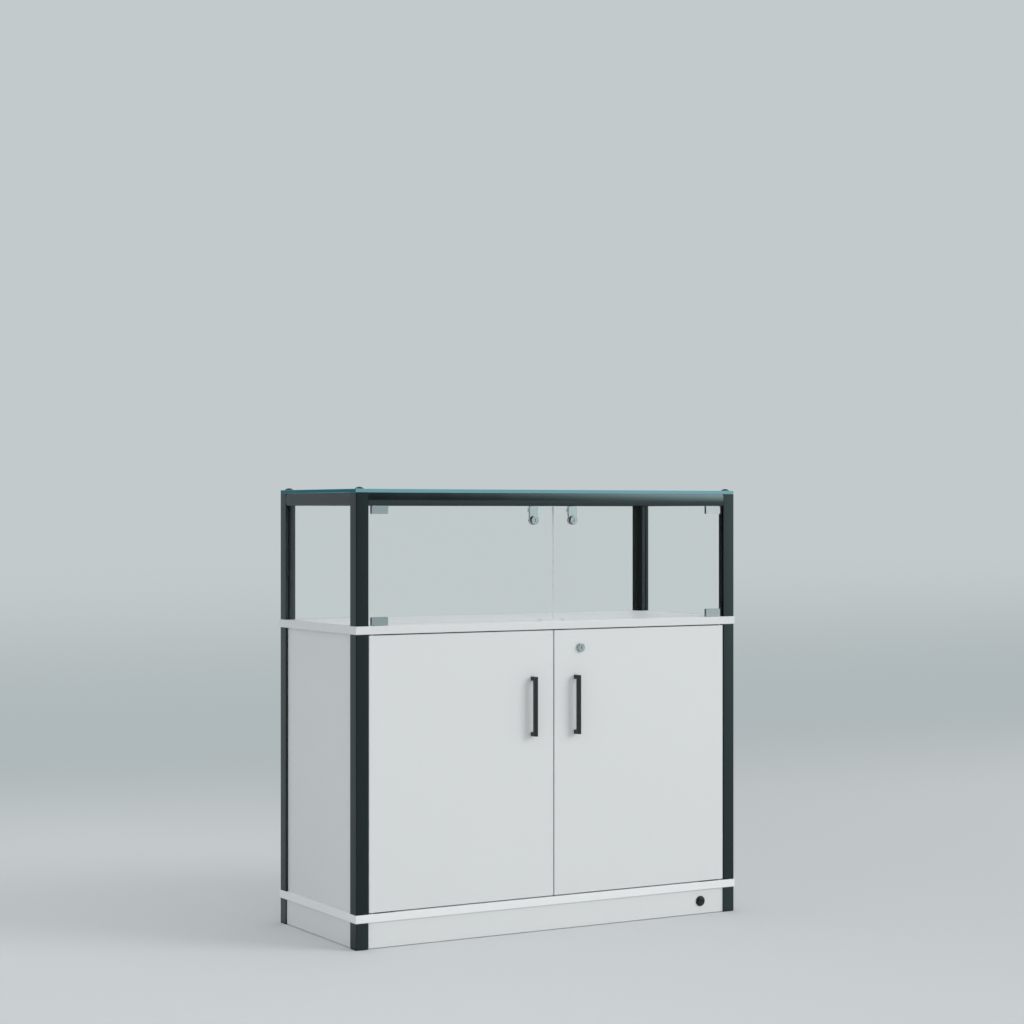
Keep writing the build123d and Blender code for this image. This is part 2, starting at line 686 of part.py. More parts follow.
# Pivot leaves let into the boards, each with a collar and a pin that reaches into the door
with BuildPart() as board_leaves:
    for face_z, up in ((Z_CABINET, 1), (Z_MIDDLE, -1)):
        with BuildSketch(Plane.XY.offset(face_z)):
            with Locations(*leaf_centres()):
                SlotOverall(LEAF_L, LEAF_W)
        extrude(amount=-up * LEAF_T)
        with BuildSketch(Plane.XY.offset(face_z)):
            with Locations(*[(pivot_x(hand), pivot_y) for hand in HANDED]):
                Circle(PIVOT_COLLAR_R)
        extrude(amount=up * (DOOR_Z_GAP - 0.2))
        with BuildSketch(Plane.XY.offset(face_z)):
            with Locations(*[(pivot_x(hand), pivot_y) for hand in HANDED]):
                Circle(PIVOT_R)
        extrude(amount=up * (DOOR_Z_GAP + LEAF_T + PIVOT_TIP))
board_leaves.part.label = "board_leaves"
export_step(board_leaves.part, "parts/board_leaves.step")

with BuildPart() as glass_bushes:
    for face_z, into in ((Z_DISPLAY, -1), (Z_RAIL, 1)):
        with BuildSketch(Plane.XY.offset(face_z)):
            with Locations(*[(glass_pivot_x(hand), glass_pivot_y) for hand in HANDED]):
                Circle(BUSH_R)
                Circle(CLAMP_PIN_R + PIVOT_PLAY, mode=Mode.SUBTRACT)
        extrude(amount=into * BUSH_L)
glass_bushes.part.label = "glass_bushes"
export_step(glass_bushes.part, "parts/glass_bushes.step")

# Lock set around the origin: its head seats on the plane of the sheet it clamps and it looks along -Y


def lock_case_profile(grip):
    """Outline of the ring-shaped case and its threaded body, for a revolve about Y."""
    with BuildSketch() as profile:
        with BuildLine():
            Polyline(
                (LOCK_PLUG_R + PIVOT_PLAY, -LOCK_HEAD_H),
                (LOCK_R - 1, -LOCK_HEAD_H),
                (LOCK_R, -LOCK_HEAD_H + 1),
                (LOCK_R, 0),
                (LOCK_BODY_R, 0),
                (LOCK_BODY_R, grip + LOCK_NUT_T),
                (LOCK_PLUG_R + PIVOT_PLAY, grip + LOCK_NUT_T),
                close=True,
            )
        make_face()
    return profile.sketch


def lock_case(grip):
    """Case of a lock, and the hexagon nut behind the clamped sheet."""
    with BuildPart() as case:
        add(lock_case_profile(grip))
        revolve(axis=Axis.Y)
        with BuildSketch(facing_front(grip)):
            RegularPolygon(LOCK_NUT_AF / 2, 6, major_radius=False)
            Circle(LOCK_BODY_R + THREAD_PLAY, mode=Mode.SUBTRACT)
        extrude(amount=-LOCK_NUT_T)
    return case.part


def lock_plug(length):
    """Plug with its keyway, which reaches the given length behind the seat of the head."""
    front = LOCK_HEAD_H + 0.3
    with BuildPart() as plug:
        with BuildSketch(facing_front(length)):
            Circle(LOCK_PLUG_R)
        extrude(amount=length + front)
        with BuildSketch(facing_front(-front)):
            Rectangle(KEYWAY_W, KEYWAY_H)
        extrude(amount=-KEYWAY_DEPTH, mode=Mode.SUBTRACT)
    return plug.part


def cam_core(grip, hand):
    """Core of a cam lock: the plug, its riveted square tail, and the cam that is held on the tail."""
    cam_front = grip + LOCK_NUT_T + CAM_GAP
    with BuildPart() as core:
        add(lock_plug(cam_front))
        with BuildSketch(facing_front(cam_front)):
            Rectangle(LOCK_PLUG_R, LOCK_PLUG_R)
        extrude(amount=-(CAM_T + 2 * THREAD_PLAY))
        with BuildSketch(facing_front(cam_front + CAM_T + 2 * THREAD_PLAY)):
            Circle(CAM_RIVET_R)
        extrude(amount=-CAM_RIVET_H)
        with BuildSketch(facing_front(cam_front + THREAD_PLAY)):
            Circle(CAM_HUB_R)
            with Locations((hand * CAM_REACH, 0)):
                Circle(CAM_TIP_R)
            make_hull()
            Rectangle(LOCK_PLUG_R + 2 * THREAD_PLAY, LOCK_PLUG_R + 2 * THREAD_PLAY, mode=Mode.SUBTRACT)
        extrude(amount=-CAM_T)
    return core.part


def crank_core(grip, hand):
    """Core of a latch lock: the plug with a headed crank pin, which rests low on the outer side."""
    plug_end = grip + LOCK_NUT_T
    pin_place = (hand * crank_step, -crank_step)
    with BuildPart() as core:
        add(lock_plug(plug_end))
        with BuildSketch(facing_front(plug_end)):
            with Locations(pin_place):
                Circle(CRANK_R)
        extrude(amount=-(LATCH_T + 2 * LATCH_GAP))
        with BuildSketch(facing_front(plug_end + LATCH_T + 2 * LATCH_GAP)):
            with Locations(pin_place):
                Circle(CRANK_HEAD_R)
        extrude(amount=-CRANK_HEAD_T)
    return core.part


crank_step = CRANK_REACH / 2**0.5
glass_grip = GLASS_DOOR_T + 2 * STRAP_T

for side, hand in HANDED.items():
    edge_in = DOOR_CENTRE_GAP / 2
    edge_out = X_IN - DOOR_POST_GAP
    door_mid = hand * (edge_in + edge_out) / 2
    door_base = Z_CABINET + DOOR_Z_GAP
    door_h = LOWER_H - 2 * DOOR_Z_GAP
    leaf_places = [(pivot_x(side) - hand * (LEAF_L - LEAF_W) / 2, pivot_y)]
    screw_places = [
        (hand * HANDLE_X, HANDLE_Z - (HANDLE_L - HANDLE_FOOT) / 2),
        (hand * HANDLE_X, HANDLE_Z + (HANDLE_L - HANDLE_FOOT) / 2),
    ]

    # Cabinet door: a board with eased edges, let in for its pivot leaves and drilled for the handle and lock
    with BuildPart() as cabinet_door:
        with BuildSketch(facing_front(DOOR_BACK)):
            with Locations((door_mid, door_base + door_h / 2)):
                Rectangle(edge_out - edge_in, door_h)
        extrude(amount=DOOR_T)
        chamfer(cabinet_door.edges(), EDGE)
        for edge_z, into in ((door_base, 1), (door_base + door_h, -1)):
            with BuildSketch(Plane.XY.offset(edge_z)):
                with Locations(*leaf_places):
                    SlotOverall(LEAF_L, LEAF_W)
            extrude(amount=into * LEAF_T, mode=Mode.SUBTRACT)
            with BuildSketch(Plane.XY.offset(edge_z)):
                with Locations((pivot_x(side), pivot_y)):
                    Circle(PIVOT_R + 0.5)
            extrude(amount=into * (LEAF_T + PIVOT_TIP + 1), mode=Mode.SUBTRACT)
        with BuildSketch(facing_front(DOOR_FACE)):
            with Locations(*screw_places):
                Circle(SCREW_R)
            if side == "right":
                with Locations((CABINET_LOCK_X, CABINET_LOCK_Z)):
                    Circle(LOCK_BODY_R)
        extrude(amount=-DOOR_T, mode=Mode.SUBTRACT)
    cabinet_door.part.label = f"door_{side}"
    export_step(cabinet_door.part, f"parts/door_{side}.step")

    with BuildPart() as door_leaves:
        for edge_z, into in ((door_base, 1), (door_base + door_h, -1)):
            with BuildSketch(Plane.XY.offset(edge_z)):
                with Locations(*leaf_places):
                    SlotOverall(LEAF_L, LEAF_W)
                with Locations((pivot_x(side), pivot_y)):
                    Circle(PIVOT_R + PIVOT_PLAY, mode=Mode.SUBTRACT)
            extrude(amount=into * LEAF_T)
    door_leaves.part.label = f"door_leaves_{side}"
    export_step(door_leaves.part, f"parts/door_leaves_{side}.step")

    # Bar handle: one flat bar on two feet, seen from the side as a shallow U
    with BuildPart() as handle:
        handle_plane = Plane(
            origin=(hand * HANDLE_X, DOOR_FACE, HANDLE_Z), x_dir=(0, -1, 0), z_dir=(-1, 0, 0)
        )
        with BuildSketch(handle_plane):
            with Locations((HANDLE_OUT / 2, 0)):
                Rectangle(HANDLE_OUT, HANDLE_L)
            with Locations(((HANDLE_OUT - HANDLE_BAR_T) / 2, 0)):
                Rectangle(HANDLE_OUT - HANDLE_BAR_T, HANDLE_L - 2 * HANDLE_FOOT, mode=Mode.SUBTRACT)
        extrude(amount=HANDLE_BAR_W / 2, both=True)
        chamfer(handle.faces().sort_by(Axis.Y)[0].edges(), HANDLE_EDGE)
        with BuildSketch(facing_front(DOOR_FACE)):
            with Locations(*screw_places):
                Circle(SCREW_R)
        extrude(amount=SCREW_IN, mode=Mode.SUBTRACT)
    handle.part.label = f"handle_{side}"
    export_step(handle.part, f"parts/handle_{side}.step")

    with BuildPart() as handle_screws:
        with BuildSketch(facing_front(DOOR_BACK)):
            with Locations(*screw_places):
                Circle(SCREW_R)
        extrude(amount=DOOR_T + SCREW_IN)
        with BuildSketch(facing_front(DOOR_BACK)):
            with Locations(*screw_places):
                Circle(SCREW_HEAD_R)
        extrude(amount=-SCREW_HEAD_H)
    handle_screws.part.label = f"handle_screws_{side}"
    export_step(handle_screws.part, f"parts/handle_screws_{side}.step")

    # Glass door, drilled for its lock
    glass_in = GLASS_DOOR_CENTRE_GAP / 2
    glass_out = X_IN - GLASS_DOOR_POST_GAP
    glass_base = Z_DISPLAY + GLASS_DOOR_Z_GAP
    glass_top = Z_RAIL - GLASS_DOOR_Z_GAP
    with BuildPart() as glass_door:
        with BuildSketch(facing_front(GLASS_BACK)):
            with Locations((hand * (glass_in + glass_out) / 2, (glass_base + glass_top) / 2)):
                Rectangle(glass_out - glass_in, glass_top - glass_base)
            with Locations((hand * GLASS_LOCK_X, GLASS_LOCK_Z)):
                Circle(GLASS_LOCK_HOLE_R, mode=Mode.SUBTRACT)
        extrude(amount=GLASS_DOOR_T)
    glass_door.part.label = f"glass_door_{side}"
    export_step(glass_door.part, f"parts/glass_door_{side}.step")

    # Clamps at the top and bottom of the glass door, each with its pivot pin
    clamp_mid = hand * (X_IN - CLAMP_FROM_POST - CLAMP_W / 2)
    clamp_face = GLASS_FACE - CLAMP_CHEEK
    with BuildPart() as clamps:
        for seat_z, up in ((Z_DISPLAY + CLAMP_GAP, 1), (Z_RAIL - CLAMP_GAP, -1)):
            with BuildSketch(facing_front(GLASS_BACK + CLAMP_CHEEK)) as clamp_outline:
                with Locations((clamp_mid, seat_z + up * CLAMP_H / 2)):
                    Rectangle(CLAMP_W, CLAMP_H)
                chamfer(clamp_outline.vertices(), CLAMP_CORNER)
            extrude(amount=GLASS_DOOR_T + 2 * CLAMP_CHEEK)
            with BuildSketch(Plane.XY.offset(seat_z)):
                with Locations((glass_pivot_x(side), glass_pivot_y)):
                    Circle(CLAMP_PIN_R)
            extrude(amount=-up * BUSH_GRIP)
        add(glass_door.part, mode=Mode.SUBTRACT)
    clamps.part.label = f"glass_clamps_{side}"
    export_step(clamps.part, f"parts/glass_clamps_{side}.step")

    # Lock of the glass door: a strap folded over the top edge of the pane, with a guide for the latch at the
    # back, the case with its nut, and the core
    strap_top = glass_top + STRAP_T
    with BuildPart() as lock_strap:
        with BuildSketch(facing_front(GLASS_BACK + STRAP_T)):
            with Locations((hand * GLASS_LOCK_X, (GLASS_LOCK_Z + strap_top) / 2)):
                Rectangle(STRAP_W, strap_top - GLASS_LOCK_Z)
            with Locations((hand * GLASS_LOCK_X, GLASS_LOCK_Z)):
                Circle(STRAP_W / 2)
        extrude(amount=glass_grip)
        with BuildSketch(facing_front(GLASS_BACK)):
            with Locations((hand * GLASS_LOCK_X, (GLASS_LOCK_Z - STRAP_W + glass_top) / 2)):
                Rectangle(2 * STRAP_W, glass_top - GLASS_LOCK_Z + STRAP_W)
        extrude(amount=GLASS_DOOR_T, mode=Mode.SUBTRACT)
        with BuildSketch(facing_front(GLASS_BACK + STRAP_T)):
            with Locations((hand * GLASS_LOCK_X, GLASS_LOCK_Z)):
                Circle(LOCK_BODY_R)
        extrude(amount=glass_grip, mode=Mode.SUBTRACT)
        guide_place = (hand * GLASS_LOCK_X, GLASS_LOCK_Z + GUIDE_UP + GUIDE_H / 2)
        with BuildSketch(facing_front(GLASS_BACK + STRAP_T)):
            with Locations(guide_place):
                Rectangle(GUIDE_W, GUIDE_H)
        extrude(amount=-GUIDE_DEPTH)
        with BuildSketch(facing_front(LATCH_FRONT - GUIDE_PLAY)):
            with Locations(guide_place):
                Rectangle(LATCH_W + 2 * GUIDE_PLAY, GUIDE_H)
        extrude(amount=-(LATCH_T + 2 * GUIDE_PLAY), mode=Mode.SUBTRACT)
    lock_strap.part.label = f"glass_lock_strap_{side}"
    export_step(lock_strap.part, f"parts/glass_lock_strap_{side}.step")

    lock_place = Location((hand * GLASS_LOCK_X, GLASS_FACE - STRAP_T, GLASS_LOCK_Z))
    with BuildPart() as glass_lock_case:
        add(lock_case(glass_grip).moved(lock_place))
    glass_lock_case.part.label = f"glass_lock_case_{side}"
    export_step(glass_lock_case.part, f"parts/glass_lock_case_{side}.step")

    with BuildPart() as glass_lock_core:
        add(crank_core(glass_grip, hand).moved(lock_place))
    glass_lock_core.part.label = f"glass_lock_core_{side}"
    export_step(glass_lock_core.part, f"parts/glass_lock_core_{side}.step")

    # Latch that the crank pin lifts into the rail: a flat plate with a cross slot for the pin
    latch_x = hand * GLASS_LOCK_X
    latch_base = GLASS_LOCK_Z - LATCH_BELOW
    latch_tip = Z_RAIL - LATCH_UNDER_RAIL
    slot_l = CRANK_REACH - crank_step + 2 * (CRANK_R + CRANK_PLAY)
    with BuildPart() as glass_latch:
        with BuildSketch(facing_front(LATCH_FRONT)) as latch_outline:
            with Locations((latch_x, (latch_base + latch_tip) / 2)):
                Rectangle(LATCH_W, latch_tip - latch_base)
            chamfer(latch_outline.vertices(), CLAMP_CORNER)
            with Locations((latch_x + hand * (CRANK_REACH + crank_step) / 2, GLASS_LOCK_Z - crank_step)):
                Rectangle(slot_l, 2 * (CRANK_R + CRANK_PLAY), mode=Mode.SUBTRACT)
        extrude(amount=-LATCH_T)
    glass_latch.part.label = f"glass_latch_{side}"
    export_step(glass_latch.part, f"parts/glass_latch_{side}.step")

# Cam lock of the right cabinet door
cabinet_lock_place = Location((CABINET_LOCK_X, DOOR_FACE, CABINET_LOCK_Z))
with BuildPart() as cabinet_lock_case:
    add(lock_case(DOOR_T).moved(cabinet_lock_place))
cabinet_lock_case.part.label = "cabinet_lock_case"
export_step(cabinet_lock_case.part, "parts/cabinet_lock_case.step")

with BuildPart() as cabinet_lock_core:
    add(cam_core(DOOR_T, HANDED["right"]).moved(cabinet_lock_place))
cabinet_lock_core.part.label = "cabinet_lock_core"
export_step(cabinet_lock_core.part, "parts/cabinet_lock_core.step")

# Bolt of the left cabinet door: a base plate with two loops, and the round bolt with its knob
with BuildPart() as bolt_case:
    with BuildSketch(facing_front(DOOR_BACK)):
        with Locations((-BOLT_X, BOLT_CASE_BASE + BOLT_CASE_H / 2)):
            RectangleRounded(BOLT_CASE_W, BOLT_CASE_H, 2)
    extrude(amount=-BOLT_CASE_T)
    for loop_z in BOLT_LOOP_Z:
        with BuildSketch(Plane.XY.offset(loop_z)):
            with Locations((-BOLT_X, bolt_y)):
                Circle(BOLT_AXIS_IN - BOLT_CASE_T)
            with Locations((-BOLT_X, (DOOR_BACK + BOLT_CASE_T + bolt_y) / 2)):
                Rectangle(2 * (BOLT_AXIS_IN - BOLT_CASE_T), BOLT_AXIS_IN - BOLT_CASE_T)
        extrude(amount=BOLT_LOOP_H)
    with BuildSketch(Plane.XY.offset(BOLT_CASE_BASE)):
        with Locations((-BOLT_X, bolt_y)):
            Circle(BOLT_R + PIVOT_PLAY)
    extrude(amount=BOLT_CASE_H, mode=Mode.SUBTRACT)
bolt_case.part.label = "bolt_case"
export_step(bolt_case.part, "parts/bolt_case.step")

with BuildPart() as bolt_rod:
    with BuildSketch(Plane.XY.offset(BOLT_BASE)):
        with Locations((-BOLT_X, bolt_y)):
            Circle(BOLT_R)
    extrude(amount=BOLT_L)
    chamfer(bolt_rod.faces().sort_by(Axis.Z)[-1].edges(), 0.8)
    with BuildSketch(facing_front(bolt_y, -BOLT_X, BOLT_KNOB_Z)):
        Circle(BOLT_KNOB_R)
    extrude(amount=-BOLT_KNOB_L)
    chamfer(bolt_rod.faces().sort_by(Axis.Y)[-1].edges(), 0.8)
bolt_rod.part.label = "bolt_rod"
export_step(bolt_rod.part, "parts/bolt_rod.step")
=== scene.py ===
"""Dresses the glass-topped shop counter and stands it in a plain, softly lit studio."""

from __future__ import annotations

import json
import logging
import math
from dataclasses import dataclass, field
from enum import Enum

import bmesh
import bpy
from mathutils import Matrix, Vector

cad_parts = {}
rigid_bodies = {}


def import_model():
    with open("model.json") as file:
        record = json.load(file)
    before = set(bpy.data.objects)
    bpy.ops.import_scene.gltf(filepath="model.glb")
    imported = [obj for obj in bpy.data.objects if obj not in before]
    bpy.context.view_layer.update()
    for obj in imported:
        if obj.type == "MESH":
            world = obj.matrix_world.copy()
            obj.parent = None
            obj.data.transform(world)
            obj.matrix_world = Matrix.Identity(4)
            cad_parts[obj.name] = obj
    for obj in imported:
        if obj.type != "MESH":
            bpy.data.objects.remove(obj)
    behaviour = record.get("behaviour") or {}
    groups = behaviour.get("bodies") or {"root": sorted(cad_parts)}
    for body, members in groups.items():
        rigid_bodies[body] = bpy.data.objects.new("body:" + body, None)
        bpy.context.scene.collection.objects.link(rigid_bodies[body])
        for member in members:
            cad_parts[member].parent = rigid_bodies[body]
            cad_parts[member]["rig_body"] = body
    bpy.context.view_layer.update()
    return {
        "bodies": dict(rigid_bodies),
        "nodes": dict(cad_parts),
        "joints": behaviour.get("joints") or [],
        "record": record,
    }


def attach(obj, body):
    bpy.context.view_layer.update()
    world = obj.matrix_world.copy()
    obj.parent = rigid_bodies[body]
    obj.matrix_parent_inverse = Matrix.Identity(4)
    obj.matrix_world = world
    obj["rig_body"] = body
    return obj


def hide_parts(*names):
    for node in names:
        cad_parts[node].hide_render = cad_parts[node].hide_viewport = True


LOG = logging.getLogger("shop_counter")
LINES_ACROSS = 900.0
LINES_ALONG = 2.0
LINE_DEPTH = 0.0002
Colour = tuple[float, float, float]
Span = tuple[float, float]


class Axis(Enum):
    """A direction of the counter, as an index into a vector."""

    ALONG = 0
    DEPTH = 1
    UP = 2


def linear(code: str) -> Colour:
    """Turn a colour as it is seen on a screen into the linear light that Blender works in.

    Args:
        code: six hexadecimal digits, such as "c3cacc".

    Returns:
        Red, green and blue in linear light.
    """
    values = [int(code[start : start + 2], 16) / 255 for start in (0, 2, 4)]
    return tuple(v / 12.92 if v <= 0.04045 else ((v + 0.055) / 1.055) ** 2.4 for v in values)


def with_alpha(colour: Colour) -> tuple[float, float, float, float]:
    """Return the colour with full alpha, as sockets want it."""
    return (*colour, 1.0)


class NodeSketch:
    """A node tree with short calls to add nodes and join their sockets."""

    def __init__(self, tree: bpy.types.NodeTree) -> None:
        """Start on a tree with no nodes in it.

        Args:
            tree: the tree of a material, a world or a node group.
        """
        self.tree = tree
        self.tree.nodes.clear()

    def add(self, kind: str, **settings: object) -> bpy.types.Node:
        """Add a node and set its properties.

        Args:
            kind: Blender's name of the node's type.
            settings: properties of the node, by name.

        Returns:
            The new node.
        """
        node = self.tree.nodes.new(kind)
        for key, value in settings.items():
            setattr(node, key, value)
        return node

    def join(self, start: bpy.types.NodeSocket, end: bpy.types.NodeSocket) -> None:
        """Join an output to an input."""
        self.tree.links.new(start, end)

    def maths(self, operation: str, first: object, second: object = None) -> bpy.types.NodeSocket:
        """Add a maths node.

        Args:
            operation: Blender's name of the operation.
            first: a number or an output socket.
            second: a number, an output socket or nothing.

        Returns:
            The node's output.
        """
        node = self.add("ShaderNodeMath", operation=operation)
        for place, value in enumerate((first, second)):
            if isinstance(value, bpy.types.NodeSocket):
                self.join(value, node.inputs[place])
            elif value is not None:
                node.inputs[place].default_value = value
        return node.outputs[0]

    def fade(self, value: bpy.types.NodeSocket, start: float, end: float) -> bpy.types.NodeSocket:
        """Rise smoothly from 0 at start to 1 at end.

        Args:
            value: the output to read.
            start: where the result is 0.
            end: where the result is 1.

        Returns:
            The faded output.
        """
        node = self.add("ShaderNodeMapRange", interpolation_type="SMOOTHSTEP")
        self.join(value, node.inputs["Value"])
        node.inputs["From Min"].default_value = min(start, end)
        node.inputs["From Max"].default_value = max(start, end)
        node.inputs["To Min"].default_value = 0.0 if start < end else 1.0
        node.inputs["To Max"].default_value = 1.0 if start < end else 0.0
        return node.outputs["Result"]

    def blend(self, mask: object, first: object, second: object) -> bpy.types.NodeSocket:
        """Mix two colours.

        Args:
            mask: a number or output: 0 gives the first colour, 1 the second.
            first: a colour or an output.
            second: a colour or an output.

        Returns:
            The mixed colour.
        """
        node = self.add("ShaderNodeMix", data_type="RGBA")
        for name, kind, value in (("Factor", "VALUE", mask), ("A", "RGBA", first), ("B", "RGBA", second)):
            socket = next(s for s in node.inputs if s.name == name and s.type == kind)
            if isinstance(value, bpy.types.NodeSocket):
                self.join(value, socket)
            else:
                socket.default_value = with_alpha(value) if kind == "RGBA" else value
        return next(s for s in node.outputs if s.type == "RGBA")


class SharedEffects:
    """Node groups that more than one finish uses."""

    def __init__(self) -> None:
        """Build each group once."""
        self.mottle = self._mottle()
        self.drawn_lines = self._drawn_lines()

    @staticmethod
    def _group(
        name: str, inputs: dict[str, float | Colour], outputs: dict[str, str]
    ) -> tuple[NodeSketch, bpy.types.Node, bpy.types.Node]:
        """Start a shader node group.

        Args:
            name: the group's name.
            inputs: each input's name with its starting value.
            outputs: each output's name with its socket type.

        Returns:
            The sketch of its tree, its input node and its output node.
        """
        tree = bpy.data.node_groups.new(name, "ShaderNodeTree")
        for label, value in inputs.items():
            kind = "NodeSocketFloat" if isinstance(value, float) else "NodeSocketColor"
            socket = tree.interface.new_socket(label, in_out="INPUT", socket_type=kind)
            socket.default_value = value if isinstance(value, float) else with_alpha(value)
        for label, kind in outputs.items():
            tree.interface.new_socket(label, in_out="OUTPUT", socket_type=kind)
        sketch = NodeSketch(tree)
        return sketch, sketch.add("NodeGroupInput"), sketch.add("NodeGroupOutput")

    def _mottle(self) -> bpy.types.NodeTree:
        """Faint uneven tone: the colour and the roughness drift a little over the surface.

        Returns:
            The node group.
        """
        sketch, given, made = self._group(
            "mottle",
            {
                "Colour": (0.5, 0.5, 0.5),
                "Roughness": 0.4,
                "Depth": 0.04,
                "Roughness Depth": 0.05,
                "Scale": 8.0,
            },
            {"Colour": "NodeSocketColor", "Roughness": "NodeSocketFloat"},
        )
        place = sketch.add("ShaderNodeTexCoord")
        noise = sketch.add("ShaderNodeTexNoise", noise_dimensions="3D")
        noise.inputs["Detail"].default_value = 4.0
        sketch.join(place.outputs["Object"], noise.inputs["Vector"])
        sketch.join(given.outputs["Scale"], noise.inputs["Scale"])
        drift = sketch.maths("SUBTRACT", noise.outputs["Fac"], 0.5)
        tone = sketch.maths("ADD", sketch.maths("MULTIPLY", drift, given.outputs["Depth"]), 1.0)
        scaled = sketch.add("ShaderNodeVectorMath", operation="SCALE")
        sketch.join(given.outputs["Colour"], scaled.inputs[0])
        sketch.join(tone, scaled.inputs["Scale"])
        sketch.join(scaled.outputs["Vector"], made.inputs["Colour"])
        sway = sketch.maths("MULTIPLY", drift, given.outputs["Roughness Depth"])
        sketch.join(sketch.maths("ADD", sway, given.outputs["Roughness"]), made.inputs["Roughness"])
        return sketch.tree

    def _drawn_lines(self) -> bpy.types.NodeTree:
        """Fine lines along one direction, as on drawn or brushed metal.

        Returns:
            The node group, whose height drives a bump.
        """
        sketch, given, made = self._group(
            "drawn_lines",
            {"Across X": 400.0, "Across Y": 400.0, "Across Z": 3.0},
            {"Height": "NodeSocketFloat"},
        )
        place = sketch.add("ShaderNodeTexCoord")
        stretch = sketch.add("ShaderNodeCombineXYZ")
        for axis in "XYZ":
            sketch.join(given.outputs[f"Across {axis}"], stretch.inputs[axis])
        product = sketch.add("ShaderNodeVectorMath", operation="MULTIPLY")
        sketch.join(place.outputs["Object"], product.inputs[0])
        sketch.join(stretch.outputs["Vector"], product.inputs[1])
        noise = sketch.add("ShaderNodeTexNoise", noise_dimensions="3D")
        noise.inputs["Scale"].default_value = 1.0
        noise.inputs["Detail"].default_value = 2.0
        sketch.join(product.outputs["Vector"], noise.inputs["Vector"])
        sketch.join(noise.outputs["Fac"], made.inputs["Height"])
        return sketch.tree


@dataclass(frozen=True)
class Finish:
    """An opaque finish, its tone made uneven by the shared groups."""

    name: str
    colour: Colour
    roughness: float
    metallic: float = 0.0
    depth: float = 0.03
    roughness_depth: float = 0.06
    scale: float = 9.0
    specular: float = 0.5
    tint: Colour = (1.0, 1.0, 1.0)
    line_direction: Axis | None = None
    line_height: float = 0.0

    def material(self, shared: SharedEffects) -> bpy.types.Material:
        """Build the material.

        Args:
            shared: the node groups that finishes share.

        Returns:
            The new material.
        """
        made = bpy.data.materials.new(self.name)
        made.use_nodes = True
        sketch = NodeSketch(made.node_tree)
        output = sketch.add("ShaderNodeOutputMaterial")
        surface = sketch.add("ShaderNodeBsdfPrincipled")
        surface.inputs["Metallic"].default_value = self.metallic
        surface.inputs["Specular IOR Level"].default_value = self.specular
        surface.inputs["Specular Tint"].default_value = with_alpha(self.tint)
        mottle = sketch.add("ShaderNodeGroup", node_tree=shared.mottle)
        mottle.inputs["Colour"].default_value = with_alpha(self.colour)
        mottle.inputs["Roughness"].default_value = self.roughness
        mottle.inputs["Depth"].default_value = self.depth
        mottle.inputs["Roughness Depth"].default_value = self.roughness_depth
        mottle.inputs["Scale"].default_value = self.scale
        sketch.join(mottle.outputs["Colour"], surface.inputs["Base Color"])
        sketch.join(mottle.outputs["Roughness"], surface.inputs["Roughness"])
        if self.line_direction is not None:
            lines = sketch.add("ShaderNodeGroup", node_tree=shared.drawn_lines)
            for axis, letter in zip(Axis, "XYZ"):
                along = axis is self.line_direction
                lines.inputs[f"Across {letter}"].default_value = LINES_ALONG if along else LINES_ACROSS
            bump = sketch.add("ShaderNodeBump")
            bump.inputs["Strength"].default_value = self.line_height
            bump.inputs["Distance"].default_value = LINE_DEPTH
            sketch.join(lines.outputs["Height"], bump.inputs["Height"])
            sketch.join(bump.outputs["Normal"], surface.inputs["Normal"])
        sketch.join(surface.outputs["BSDF"], output.inputs["Surface"])
        return made


@dataclass(frozen=True)
class GlassFinish:
    """Clear glass that lets light through to what stands behind it."""

    name: str
    colour: Colour
    roughness: float = 0.0
    refraction: float = 1.45
    specular: float = 0.5
    shade: Colour = (0.99, 0.995, 0.995)

    def material(self) -> bpy.types.Material:
        """Build the material, whose shadow is a light tint instead of a caustic.

        Returns:
            The new material.
        """
        made = bpy.data.materials.new(self.name)
        made.use_nodes = True
        sketch = NodeSketch(made.node_tree)
        output = sketch.add("ShaderNodeOutputMaterial")
        surface = sketch.add("ShaderNodeBsdfPrincipled")
        surface.inputs["Base Color"].default_value = with_alpha(self.colour)
        surface.inputs["Roughness"].default_value = self.roughness
        surface.inputs["IOR"].default_value = self.refraction
        surface.inputs["Transmission Weight"].default_value = 1.0
        surface.inputs["Specular IOR Level"].default_value = self.specular
        path = sketch.add("ShaderNodeLightPath")
        clear = sketch.add("ShaderNodeBsdfTransparent")
        clear.inputs["Color"].default_value = with_alpha(self.shade)
        either = sketch.maths("MAXIMUM", path.outputs["Is Shadow Ray"], path.outputs["Is Diffuse Ray"])
        mix = sketch.add("ShaderNodeMixShader")
        sketch.join(either, mix.inputs["Fac"])
        sketch.join(surface.outputs["BSDF"], mix.inputs[1])
        sketch.join(clear.outputs["BSDF"], mix.inputs[2])
        sketch.join(mix.outputs["Shader"], output.inputs["Surface"])
        return made


